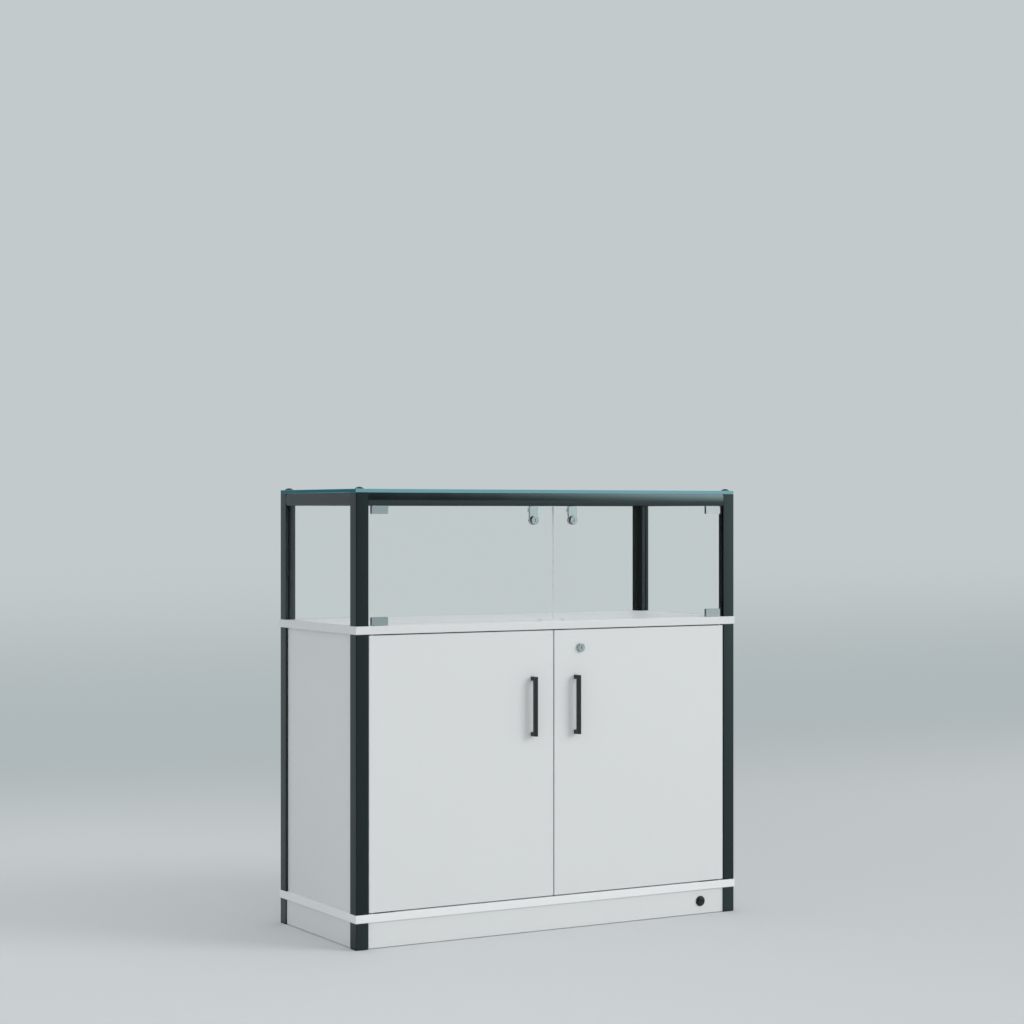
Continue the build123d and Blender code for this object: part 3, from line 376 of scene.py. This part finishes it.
class Finishes:
    """All the counter's materials, made once."""

    cool: Colour = (0.74, 0.98, 1.0)

    def __init__(self) -> None:
        """Build the shared groups, then every material."""
        self.shared = SharedEffects()
        self.mix_whites()
        self.mix_frame_blacks()
        self.mix_small_blacks()
        self.mix_metals()
        self.mix_glass()

    def opaque(self, name: str, colour: Colour, roughness: float, **more: object) -> bpy.types.Material:
        """Build one opaque finish.

        Args:
            name: the material's name.
            colour: its colour in linear light.
            roughness: its roughness.
            more: other fields of Finish, by name.

        Returns:
            The material.
        """
        return Finish(name, colour, roughness, **more).material(self.shared)

    def steel(self, name: str, colour: Colour, roughness: float, **more: object) -> bpy.types.Material:
        """Build one bare metal finish, with the arguments of opaque."""
        return self.opaque(name, colour, roughness, metallic=1.0, **more)

    def mix_whites(self) -> None:
        """Mix the finishes of the coated boards, a lighter copy that paints light on the showcase floor and
        the bottom board, and the nylon bushes.
        """
        self.white_board = self.opaque("white_board", (0.772, 0.787, 0.789), 0.5, specular=0.3, depth=0.012)
        # A lighter copy of the white board: painted light on the showcase floor and the bottom board.
        self.white_board_painted_light = self.opaque("white_board_painted_light", (0.90, 0.915, 0.915), 0.45, depth=0.012)
        self.nylon = self.opaque("nylon_bush", (0.62, 0.63, 0.62), 0.45)

    def mix_frame_blacks(self) -> None:
        """Mix the black anodised finishes: outer sides of the posts, a darker copy that paints shade on their
        inner sides, feet and rails.
        """
        outer = (0.0058, 0.0085, 0.0095)
        rail = (0.003, 0.0045, 0.005)
        upright = {"line_direction": Axis.UP, "line_height": 0.05, "scale": 20.0}
        along = {"line_direction": Axis.ALONG, "line_height": 0.03, "scale": 20.0}
        deep = {"line_direction": Axis.DEPTH, "line_height": 0.03, "scale": 20.0}
        cool = self.cool
        self.post = self.opaque("post_black", outer, 0.34, specular=0.55, tint=cool, **upright)
        # A darker copy of the post black: painted shade on the inner sides of the upper posts and the outer
        # edges of the glass doors.
        self.post_painted_shade = self.opaque(
            "post_black_painted_shade", (0.003, 0.004, 0.0044), 0.5, specular=0.07, tint=cool
        )
        self.foot = self.opaque("foot_black", (0.0075, 0.010, 0.011), 0.34, specular=0.8, tint=cool)
        self.rail_along = self.opaque("rail_black_along", rail, 0.15, specular=1.2, tint=cool, **along)
        self.rail_depth = self.opaque("rail_black_depth", rail, 0.26, specular=0.6, tint=cool, **deep)

    def mix_small_blacks(self) -> None:
        """Mix the blacks of the handles, dome nuts, pads, cable bush and gaskets."""
        self.handle = self.opaque("handle_black", (0.009, 0.011, 0.012), 0.38)
        self.dome = self.opaque("dome_black", (0.006, 0.007, 0.008), 0.25)
        self.pad = self.opaque("pad_black", (0.012, 0.012, 0.012), 0.7)
        self.bush = self.opaque("bush_black", (0.008, 0.009, 0.010), 0.45)
        self.gasket = self.opaque("gasket_black", (0.01, 0.011, 0.011), 0.6)

    def mix_metals(self) -> None:
        """Mix the steels of the straps, clamps, locks and hidden hardware, with copies that paint light on
        all but the straps' front faces, light on the right door's clamps, a highlight on its upper clamps and
        shade on the sides of the lock cases.
        """
        brushed = {"line_direction": Axis.ALONG, "line_height": 0.08}
        self.satin = self.steel(
            "satin_steel", (0.52, 0.60, 0.61), 0.50, line_direction=Axis.ALONG, line_height=0.12
        )
        # A pale, plain copy of the strap steel: painted light, so the strap shows no shaded line through the
        # glass.
        self.strap_painted_light = self.opaque("strap_painted_light", (0.62, 0.66, 0.67), 0.6)
        self.clamp = self.steel("clamp_steel", (0.42, 0.49, 0.50), 0.42, **brushed)
        # A retoned copy of the clamp steel for the right door: painted light where the light falls there.
        self.clamp_right_painted_light = self.steel("clamp_steel_right_painted_light", (0.42, 0.47, 0.48), 0.42, **brushed)
        # A brighter copy for the front of the upper right clamps: a painted highlight.
        self.clamp_painted_highlight = self.steel("clamp_steel_painted_highlight", (0.57, 0.60, 0.61), 0.5)
        self.lock = self.steel("lock_steel", (0.49, 0.55, 0.56), 0.34)
        # A near-black copy of the lock steel: painted shade on the sides of the lock cases.
        self.lock_painted_shade = self.steel("lock_painted_shade", (0.05, 0.055, 0.056), 0.3)
        self.zinc = self.steel("zinc_steel", (0.52, 0.54, 0.56), 0.38, depth=0.08)

    def mix_glass(self) -> None:
        """Mix the clear glass, the edges of the panes and of the thick top, and the clear buffers; the doors'
        meeting edges take a painted highlight, and the top's edges carry painted light and shade over the
        glass's green, with a painted highlight on the arrises.
        """
        self.pane = GlassFinish("pane_clear", (0.985, 0.995, 0.992), 0.0, 1.12, 0.04).material()
        self.top = GlassFinish("top_glass_clear", (0.93, 0.975, 0.97)).material()
        self.buffer = GlassFinish("buffer_clear", (0.93, 0.95, 0.95), 0.12, 1.4).material()
        self.pane_edge = GlassFinish("pane_edge", (0.80, 0.90, 0.90), 0.12).material()
        # A bright metal on the doors' meeting edges: a painted highlight.
        self.meeting_edge_painted_highlight = self.steel("meeting_edge_painted_highlight", (0.96, 0.98, 0.98), 0.3)
        uneven = {"depth": 0.06, "scale": 3.0}
        # The top's edges are opaque: the green of the long way through the glass, with painted light on the
        # long edges and painted shade on the short ends.
        self.top_edge_long_tint_and_light = self.opaque("top_edge_long_tint_and_light", (0.17, 0.38, 0.415), 0.12, specular=0.15, **uneven)
        self.top_edge_short_tint_and_shade = self.opaque(
            "top_edge_short_tint_and_shade", (0.010, 0.142, 0.182), 0.2, specular=0.05, **uneven
        )
        # The arrises are paler: a painted highlight.
        self.top_arris_painted_highlight = self.opaque("top_arris_painted_highlight", (0.33, 0.58, 0.61), 0.2, depth=0.05)


@dataclass
class Workshop:
    """What every sub-assembly needs: the loaded frame and the finishes."""

    frame: dict
    finishes: Finishes
    merge_distance: float = 1e-6

    def node(self, name: str) -> bpy.types.Object:
        """Return the object of a CAD node."""
        return self.frame["nodes"][name]

    def paint(self, material: bpy.types.Material, *names: str) -> None:
        """Give CAD nodes a material and report each.

        Args:
            material: the finish.
            names: the nodes.
        """
        for name in names:
            thing = self.node(name)
            if not thing.material_slots:
                thing.data.materials.append(material)
            for slot in thing.material_slots:
                slot.material = material
            LOG.info("%s is finished in %s", name, material.name)

    @staticmethod
    def face_material(piece: bpy.types.Object, way: Colour, place: int, limit: float = 0.9) -> None:
        """Give the faces that look one way another of the piece's materials.

        Args:
            piece: the piece.
            way: the direction, of length 1.
            place: the material's place on the piece.
            limit: least cosine between a face and the direction.
        """
        for polygon in piece.data.polygons:
            if polygon.normal.dot(Vector(way)) > limit:
                polygon.material_index = place

    def body_of(self, name: str) -> str:
        """Return the name of the body that a CAD node rides on."""
        return self.node(name)["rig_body"]

    def refine(
        self, name: str, materials: list[bpy.types.Material], smooth_angle: float = 32.0
    ) -> bpy.types.Object:
        """Make a smoothly shaded piece with the exact shape of a CAD node, and let it stand for the node.

        Args:
            name: the node.
            materials: its materials; faces take the first until they are sorted.
            smooth_angle: edges that bend more than this, in degrees, stay sharp.

        Returns:
            The new piece.
        """
        mesh = self.node(name).data.copy()
        mesh.name = f"{name}_refined"
        mesh.materials.clear()
        for material in materials:
            mesh.materials.append(material)
        shape = bmesh.new()
        shape.from_mesh(mesh)
        bmesh.ops.remove_doubles(shape, verts=shape.verts, dist=self.merge_distance)
        for face in shape.faces:
            face.smooth = True
            face.material_index = 0
        for edge in shape.edges:
            if len(edge.link_faces) == 2:
                edge.smooth = edge.calc_face_angle(0.0) < math.radians(smooth_angle)
        shape.to_mesh(mesh)
        shape.free()
        for attribute in ("custom_normal", "sharp_face"):
            if attribute in mesh.attributes:
                mesh.attributes.remove(mesh.attributes[attribute])
        piece = bpy.data.objects.new(f"{name}_refined", mesh)
        bpy.context.scene.collection.objects.link(piece)
        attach(piece, self.body_of(name))
        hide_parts(name)
        LOG.info("%s stands for %s", piece.name, name)
        return piece


class Hand(Enum):
    """The left or the right half of the counter, as its doors are faced."""

    LEFT = "left"
    RIGHT = "right"


@dataclass
class BlackFrame:
    """Posts, feet, rails and the dome nuts on top."""

    shop: Workshop

    def build(self) -> None:
        """Dress every black piece of the frame."""
        finishes = self.shop.finishes
        slant = math.sqrt(0.5)
        inner_ways = {
            "front_left": [(1.0, 0.0, 0.0), (slant, slant, 0.0)],
            "front_right": [(-1.0, 0.0, 0.0), (-slant, slant, 0.0)],
            "rear_left": [(1.0, 0.0, 0.0), (slant, -slant, 0.0)],
            "rear_right": [(-1.0, 0.0, 0.0), (-slant, -slant, 0.0)],
        }
        # The inner sides of the upper posts take painted shade: a darker copy of the post black.
        for corner, ways in inner_ways.items():
            self.shop.refine(f"lower_post_{corner}", [finishes.post])
            post = self.shop.refine(f"upper_post_{corner}", [finishes.post, finishes.post_painted_shade])
            for way in ways:
                self.shop.face_material(post, way, 1)
        self.shop.refine("feet", [finishes.foot])
        self.shop.refine("rail_front", [finishes.rail_along])
        self.shop.refine("rail_rear", [finishes.rail_along])
        self.shop.refine("rail_ends", [finishes.rail_depth])
        self.shop.refine("dome_nuts", [finishes.dome])
        self.shop.paint(finishes.pad, "foot_pads")
        self.shop.paint(finishes.zinc, "tie_bolts", "rail_connectors")


@dataclass
class Cabinet:
    """Boards, panels, doors and the hardware of the lower part."""

    shop: Workshop
    boards: tuple[str, ...] = (
        "plinth_front",
        "plinth_rear",
        "plinth_ends",
        "side_panel_left",
        "side_panel_right",
        "back_panel",
        "inner_shelf",
    )
    level_limit: float = 0.999
    bar_back: float = -0.20275
    bar_fullness: float = 0.0035
    bar_tolerance: float = 2e-4

    def build(self) -> None:
        """Dress the carcass and both doors."""
        finishes = self.shop.finishes
        self.shop.paint(finishes.white_board, *self.boards)
        # The bottom board and the top of the middle board take painted light: a lighter copy of the white
        # board.
        self.shop.paint(finishes.white_board_painted_light, "bottom_board")
        middle = self.shop.refine("middle_board", [finishes.white_board, finishes.white_board_painted_light])
        self.shop.face_material(middle, (0.0, 0.0, 1.0), 1, self.level_limit)
        self.shop.paint(finishes.zinc, "plinth_brackets", "shelf_pins", "door_stops", "board_leaves")
        self.shop.refine("cable_bush", [finishes.bush])
        for hand in Hand:
            self.build_door(hand)
        self.shop.refine("cabinet_lock_case", [finishes.lock])
        self.shop.refine("cabinet_lock_core", [finishes.lock])
        self.shop.refine("bolt_case", [finishes.zinc])
        self.shop.refine("bolt_rod", [finishes.zinc])

    def build_door(self, hand: Hand) -> None:
        """Dress one door with its handle, whose bar is made fuller towards the door.

        Args:
            hand: which door.
        """
        finishes = self.shop.finishes
        self.shop.paint(finishes.white_board, f"door_{hand.value}")
        handle = self.shop.refine(f"handle_{hand.value}", [finishes.handle])
        for vertex in handle.data.vertices:
            if abs(vertex.co.y - self.bar_back) < self.bar_tolerance:
                vertex.co.y += self.bar_fullness
        self.shop.refine(f"handle_screws_{hand.value}", [finishes.zinc])
        self.shop.paint(finishes.zinc, f"door_leaves_{hand.value}")


@dataclass
class Showcase:
    """Glass top, panes and glass doors with their metalwork."""

    shop: Workshop
    face_limit: float = 0.9
    level_limit: float = 0.999
    case_limit: float = 0.5
    top_smooth_angle: float = 20.0
    strap_front: float = -0.187
    upper_clamps: float = 0.9

    def sort_faces(self, piece: bpy.types.Object, thin: Axis, order: dict[Axis, int], eased: int) -> None:
        """Give each face of a glass sheet its material by the way it looks.

        Args:
            piece: the sheet.
            thin: the axis of its thickness, whose faces keep the first material.
            order: the material's place for faces that look along each other axis.
            eased: the material's place for faces that look between two axes.
        """
        for polygon in piece.data.polygons:
            facing = [abs(part) for part in polygon.normal]
            if facing[thin.value] > self.face_limit:
                continue
            matches = [place for axis, place in order.items() if facing[axis.value] > self.face_limit]
            polygon.material_index = matches[0] if matches else eased

    def build_top(self) -> None:
        """Dress the thick glass top, whose edges are green from the long way through the glass, with painted
        light on the long edges, painted shade on the short ends and a painted highlight on the arrises.
        """
        finishes = self.shop.finishes
        edges = [finishes.top, finishes.top_edge_long_tint_and_light, finishes.top_edge_short_tint_and_shade, finishes.top_arris_painted_highlight]
        piece = self.shop.refine("top_glass", edges, smooth_angle=self.top_smooth_angle)
        self.sort_faces(piece, Axis.UP, {Axis.DEPTH: 1, Axis.ALONG: 2}, 3)

    def build_panes(self) -> None:
        """Dress the fixed panes and their gaskets."""
        finishes = self.shop.finishes
        thin = {"side_panes": Axis.ALONG, "back_pane": Axis.DEPTH}
        for name, axis in thin.items():
            piece = self.shop.refine(name, [finishes.pane, finishes.gasket])
            self.sort_faces(piece, axis, {}, 1)
        self.shop.paint(finishes.gasket, "pane_gaskets")

    def build_door(self, hand: Hand) -> None:
        """Dress one glass door with its clamps and lock.

        Args:
            hand: which door.
        """
        finishes = self.shop.finishes
        inward = 1.0 if hand is Hand.LEFT else -1.0
        # Top and bottom edges stay glass; the meeting edge takes a painted highlight and the outer edge
        # painted shade.
        edges = [finishes.pane, finishes.pane_edge, finishes.meeting_edge_painted_highlight, finishes.post_painted_shade]
        piece = self.shop.refine(f"glass_door_{hand.value}", edges)
        up, meeting = Vector((0.0, 0.0, 1.0)), Vector((inward, 0.0, 0.0))
        for way, place in ((up, 1), (-up, 1), (meeting, 2), (-meeting, 3)):
            self.shop.face_material(piece, tuple(way), place, self.level_limit)
        # The right door's clamps take a retoned copy of the clamp steel, painted light; the front faces of
        # its upper clamps take a painted highlight.
        clamp = finishes.clamp if hand is Hand.LEFT else finishes.clamp_right_painted_light
        clamps = self.shop.refine(f"glass_clamps_{hand.value}", [clamp, finishes.clamp_painted_highlight])
        for polygon in clamps.data.polygons:
            in_front = polygon.normal.y < -self.face_limit
            if hand is Hand.RIGHT and polygon.center.z > self.upper_clamps and in_front:
                polygon.material_index = 1
        # All but the strap's front face take a pale, plain copy of the steel: painted light.
        strap = self.shop.refine(f"glass_lock_strap_{hand.value}", [finishes.strap_painted_light, finishes.satin])
        for polygon in strap.data.polygons:
            if polygon.normal.y < -self.face_limit and polygon.center.y < self.strap_front:
                polygon.material_index = 1
        # The sides of the lock case take a near-black copy of the lock steel, painted shade; its front keeps
        # the lock steel.
        case = self.shop.refine(f"glass_lock_case_{hand.value}", [finishes.lock_painted_shade, finishes.lock])
        self.shop.face_material(case, (0.0, -1.0, 0.0), 1, self.case_limit)
        self.shop.refine(f"glass_lock_core_{hand.value}", [finishes.lock])
        self.shop.paint(finishes.zinc, f"glass_latch_{hand.value}")

    def build(self) -> None:
        """Dress the whole showcase."""
        self.build_top()
        self.build_panes()
        for hand in Hand:
            self.build_door(hand)
        self.shop.paint(self.shop.finishes.nylon, "glass_bushes")
        self.shop.refine("door_buffers", [self.shop.finishes.buffer])


@dataclass
class Studio:
    """Floor with a swept-up backdrop, soft light and the camera."""

    camera_place: tuple[float, float, float] = (-2.6582, -4.6053, 0.9459)
    camera_turn: float = 29.987
    camera_lift: float = 0.018
    lens: float = 79.907
    sensor: float = 36.0
    floor_front: float = -14.0
    floor_back: float = 4.6
    bend: float = 0.9
    bend_steps: int = 24
    wall_top: float = 8.0
    half_width: float = 16.0
    # The floor is painted lighter on the left and darker on the right: painted light and shade.
    floor_left_painted_light: Colour = (0.755, 0.775, 0.78)
    floor_right_painted_shade: Colour = (0.645, 0.665, 0.67)
    # Reflections see the floor in front of the counter darker: a painted reflection.
    floor_painted_reflection: Colour = (0.42, 0.43, 0.435)
    paper_roughness: float = 0.9
    paper_specular: float = 0.1
    left_to_right: Span = (-1.2, 1.6)
    back_to_front: Span = (0.3, -0.3)
    near_to_far: Span = (1.2, 4.0)
    floor_to_wall: Span = (0.0, 0.75)
    # The far paper glows, darker where floor meets wall: painted light with a strip of painted shade.
    band_painted_shade: Colour = field(default_factory=lambda: linear("afb8ba"))
    wall: Colour = field(default_factory=lambda: linear("c3cacc"))
    key_place: tuple[float, float, float] = (8.55, -8.1, 5.6)
    key_aim: tuple[float, float, float] = (0.0, 0.0, 0.5)
    key_size: float = 6.0
    key_power: float = 530.0
    key_colour: Colour = (1.0, 0.99, 0.975)
    sky_level: float = 0.73
    sky_colour: Colour = (0.975, 1.0, 1.015)
    room_colour: Colour = (0.06, 0.065, 0.07)
    room_reach: Span = (-0.12, 0.10)
    window_colour: Colour = (3.4, 3.7, 3.75)
    window_side: Span = (0.57, 0.76)
    window_rise: Span = (-0.4, 0.4)
    window_front: Span = (0.0, 0.25)
    least_ahead: float = 0.001

    def add_camera(self) -> None:
        """Stand the camera where the photograph was taken from."""
        data = bpy.data.cameras.new("camera")
        data.lens = self.lens
        data.sensor_width = self.sensor
        camera = bpy.data.objects.new("camera", data)
        camera.location = self.camera_place
        camera.rotation_euler = (math.radians(90 + self.camera_lift), 0.0, math.radians(-self.camera_turn))
        bpy.context.scene.collection.objects.link(camera)
        bpy.context.scene.camera = camera

    def sweep_line(self) -> list[tuple[float, float]]:
        """Return the backdrop's side view as depth and height, from the front edge to the top."""
        line = [(self.floor_front, 0.0)]
        for step in range(self.bend_steps + 1):
            angle = math.pi / 2 * step / self.bend_steps
            line.append((self.floor_back + self.bend * math.sin(angle), self.bend * (1 - math.cos(angle))))
        line.append((self.floor_back + self.bend, self.wall_top))
        return line

    def backdrop_material(self) -> bpy.types.Material:
        """Pale paper: it takes shadows near the counter and fades to a glowing backdrop far behind it, with
        painted light and shade from left to right, a darker painted reflection in front and a strip of
        painted shade at the foot of the wall.

        Returns:
            The material.
        """
        made = bpy.data.materials.new("backdrop_paper")
        made.use_nodes = True
        sketch = NodeSketch(made.node_tree)
        output = sketch.add("ShaderNodeOutputMaterial")
        paper = sketch.add("ShaderNodeBsdfPrincipled")
        paper.inputs["Roughness"].default_value = self.paper_roughness
        paper.inputs["Specular IOR Level"].default_value = self.paper_specular
        place = sketch.add("ShaderNodeNewGeometry")
        split = sketch.add("ShaderNodeSeparateXYZ")
        sketch.join(place.outputs["Position"], split.inputs["Vector"])
        path = sketch.add("ShaderNodeLightPath")
        in_gloss = path.outputs["Is Glossy Ray"]
        # Painted light and shade: the paper is lighter on the left and darker on the right.
        rightwards = sketch.fade(split.outputs["X"], *self.left_to_right)
        tone = sketch.blend(rightwards, self.floor_left_painted_light, self.floor_right_painted_shade)
        # Reflections of the floor in front of the counter see a darker colour: a painted reflection.
        in_front = sketch.maths("MULTIPLY", in_gloss, sketch.fade(split.outputs["Y"], *self.back_to_front))
        sketch.join(sketch.blend(in_front, tone, self.floor_painted_reflection), paper.inputs["Base Color"])
        # Far off, the paper glows for the camera, for gloss and through glass: painted light in the wall
        # colour, darker at the foot of the wall in a strip of painted shade.
        rise = sketch.maths("MAXIMUM", sketch.fade(split.outputs["Z"], *self.floor_to_wall), in_gloss)
        glow = sketch.add("ShaderNodeEmission")
        sketch.join(sketch.blend(rise, self.band_painted_shade, self.wall), glow.inputs["Color"])
        far = sketch.fade(split.outputs["Y"], *self.near_to_far)
        seen = sketch.maths("MAXIMUM", path.outputs["Is Camera Ray"], in_gloss)
        seen = sketch.maths("MAXIMUM", seen, path.outputs["Is Transmission Ray"])
        mix = sketch.add("ShaderNodeMixShader")
        sketch.join(sketch.maths("MULTIPLY", far, seen), mix.inputs["Fac"])
        sketch.join(paper.outputs["BSDF"], mix.inputs[1])
        sketch.join(glow.outputs["Emission"], mix.inputs[2])
        sketch.join(mix.outputs["Shader"], output.inputs["Surface"])
        return made

    def add_backdrop(self) -> None:
        """Build the floor and the wall as one swept sheet."""
        line = self.sweep_line()
        points = [(side * self.half_width, y, z) for y, z in line for side in (-1, 1)]
        faces = [(2 * i, 2 * i + 1, 2 * i + 3, 2 * i + 2) for i in range(len(line) - 1)]
        mesh = bpy.data.meshes.new("backdrop")
        mesh.from_pydata(points, [], faces)
        for polygon in mesh.polygons:
            polygon.use_smooth = True
        mesh.materials.append(self.backdrop_material())
        backdrop = bpy.data.objects.new("backdrop", mesh)
        bpy.context.scene.collection.objects.link(backdrop)

    def add_key(self) -> None:
        """Hang the large soft light in front, to the right; polished pieces show the window instead of it."""
        data = bpy.data.lights.new("key_light", "AREA")
        data.shape = "SQUARE"
        data.size = self.key_size
        data.energy = self.key_power
        data.color = self.key_colour
        lamp = bpy.data.objects.new("key_light", data)
        lamp.location = self.key_place
        aim = Vector(self.key_aim) - Vector(self.key_place)
        lamp.rotation_euler = aim.to_track_quat("-Z", "Y").to_euler()
        lamp.visible_glossy = False
        bpy.context.scene.collection.objects.link(lamp)

    @staticmethod
    def towards(
        sketch: NodeSketch, look: bpy.types.NodeSocket, turn: float, lift: float
    ) -> bpy.types.NodeSocket:
        """Measure how near a direction of the world is to a fixed one.

        Args:
            sketch: the world's tree.
            look: the direction that is looked along.
            turn: degrees from the front, to the right.
            lift: degrees above the horizon.

        Returns:
            The cosine between the two.
        """
        turned, lifted = math.radians(turn), math.radians(lift)
        level = math.cos(lifted)
        node = sketch.add("ShaderNodeVectorMath", operation="DOT_PRODUCT")
        node.inputs[1].default_value = (level * math.sin(turned), -level * math.cos(turned), math.sin(lifted))
        sketch.join(look, node.inputs[0])
        return node.outputs["Value"]

    def window(self, sketch: NodeSketch, look: bpy.types.NodeSocket) -> bpy.types.NodeSocket:
        """Shape a soft window for gloss, in front to the right, which is brighter above eye level.

        Args:
            sketch: the world's tree.
            look: the direction that is looked along.

        Returns:
            How much of the window is seen in that direction.
        """
        across = self.towards(sketch, look, 90.0, 0.0)
        ahead = self.towards(sketch, look, 0.0, 0.0)
        slope = sketch.maths("DIVIDE", across, sketch.maths("MAXIMUM", ahead, self.least_ahead))
        side = sketch.fade(slope, *self.window_side)
        rise = sketch.fade(self.towards(sketch, look, 0.0, 90.0), *self.window_rise)
        front = sketch.fade(ahead, *self.window_front)
        return sketch.maths("MULTIPLY", front, sketch.maths("MULTIPLY", side, rise))

    def add_world(self) -> None:
        """Light the scene evenly, with a dark room in front and a soft window for gloss to show."""
        world = bpy.data.worlds.new("studio_world")
        bpy.context.scene.world = world
        world.use_nodes = True
        sketch = NodeSketch(world.node_tree)
        output = sketch.add("ShaderNodeOutputWorld")
        look = sketch.add("ShaderNodeTexCoord").outputs["Generated"]
        path = sketch.add("ShaderNodeLightPath")
        room = sketch.fade(self.towards(sketch, look, 0.0, 0.0), *self.room_reach)
        dark = sketch.blend(room, self.wall, self.room_colour)
        gloss = sketch.blend(self.window(sketch, look), dark, self.window_colour)
        even = sketch.blend(path.outputs["Is Glossy Ray"], self.sky_colour, gloss)
        level = sketch.add("ShaderNodeBackground")
        sketch.join(even, level.inputs["Color"])
        strength = sketch.add("ShaderNodeMapRange")
        sketch.join(path.outputs["Is Glossy Ray"], strength.inputs["Value"])
        strength.inputs["To Min"].default_value = self.sky_level
        strength.inputs["To Max"].default_value = 1.0
        sketch.join(strength.outputs["Result"], level.inputs["Strength"])
        plain = sketch.add("ShaderNodeBackground")
        plain.inputs["Color"].default_value = with_alpha(self.wall)
        seen = sketch.maths("MAXIMUM", path.outputs["Is Camera Ray"], path.outputs["Is Transmission Ray"])
        mix = sketch.add("ShaderNodeMixShader")
        sketch.join(seen, mix.inputs["Fac"])
        sketch.join(level.outputs["Background"], mix.inputs[1])
        sketch.join(plain.outputs["Background"], mix.inputs[2])
        sketch.join(mix.outputs["Shader"], output.inputs["Surface"])

    def build(self) -> None:
        """Set up everything round the counter."""
        self.add_camera()
        self.add_backdrop()
        self.add_key()
        self.add_world()
        bpy.context.scene.view_settings.view_transform = "Standard"
        LOG.info("the studio is set")


def main() -> None:
    """Load the counter, dress its sub-assemblies and set up the studio."""
    logging.basicConfig(level=logging.INFO, format="%(name)s: %(message)s")
    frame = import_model()
    shop = Workshop(frame, Finishes())
    for assembly in (BlackFrame(shop), Cabinet(shop), Showcase(shop), Studio()):
        assembly.build()


if __name__ == "__main__":
    main()
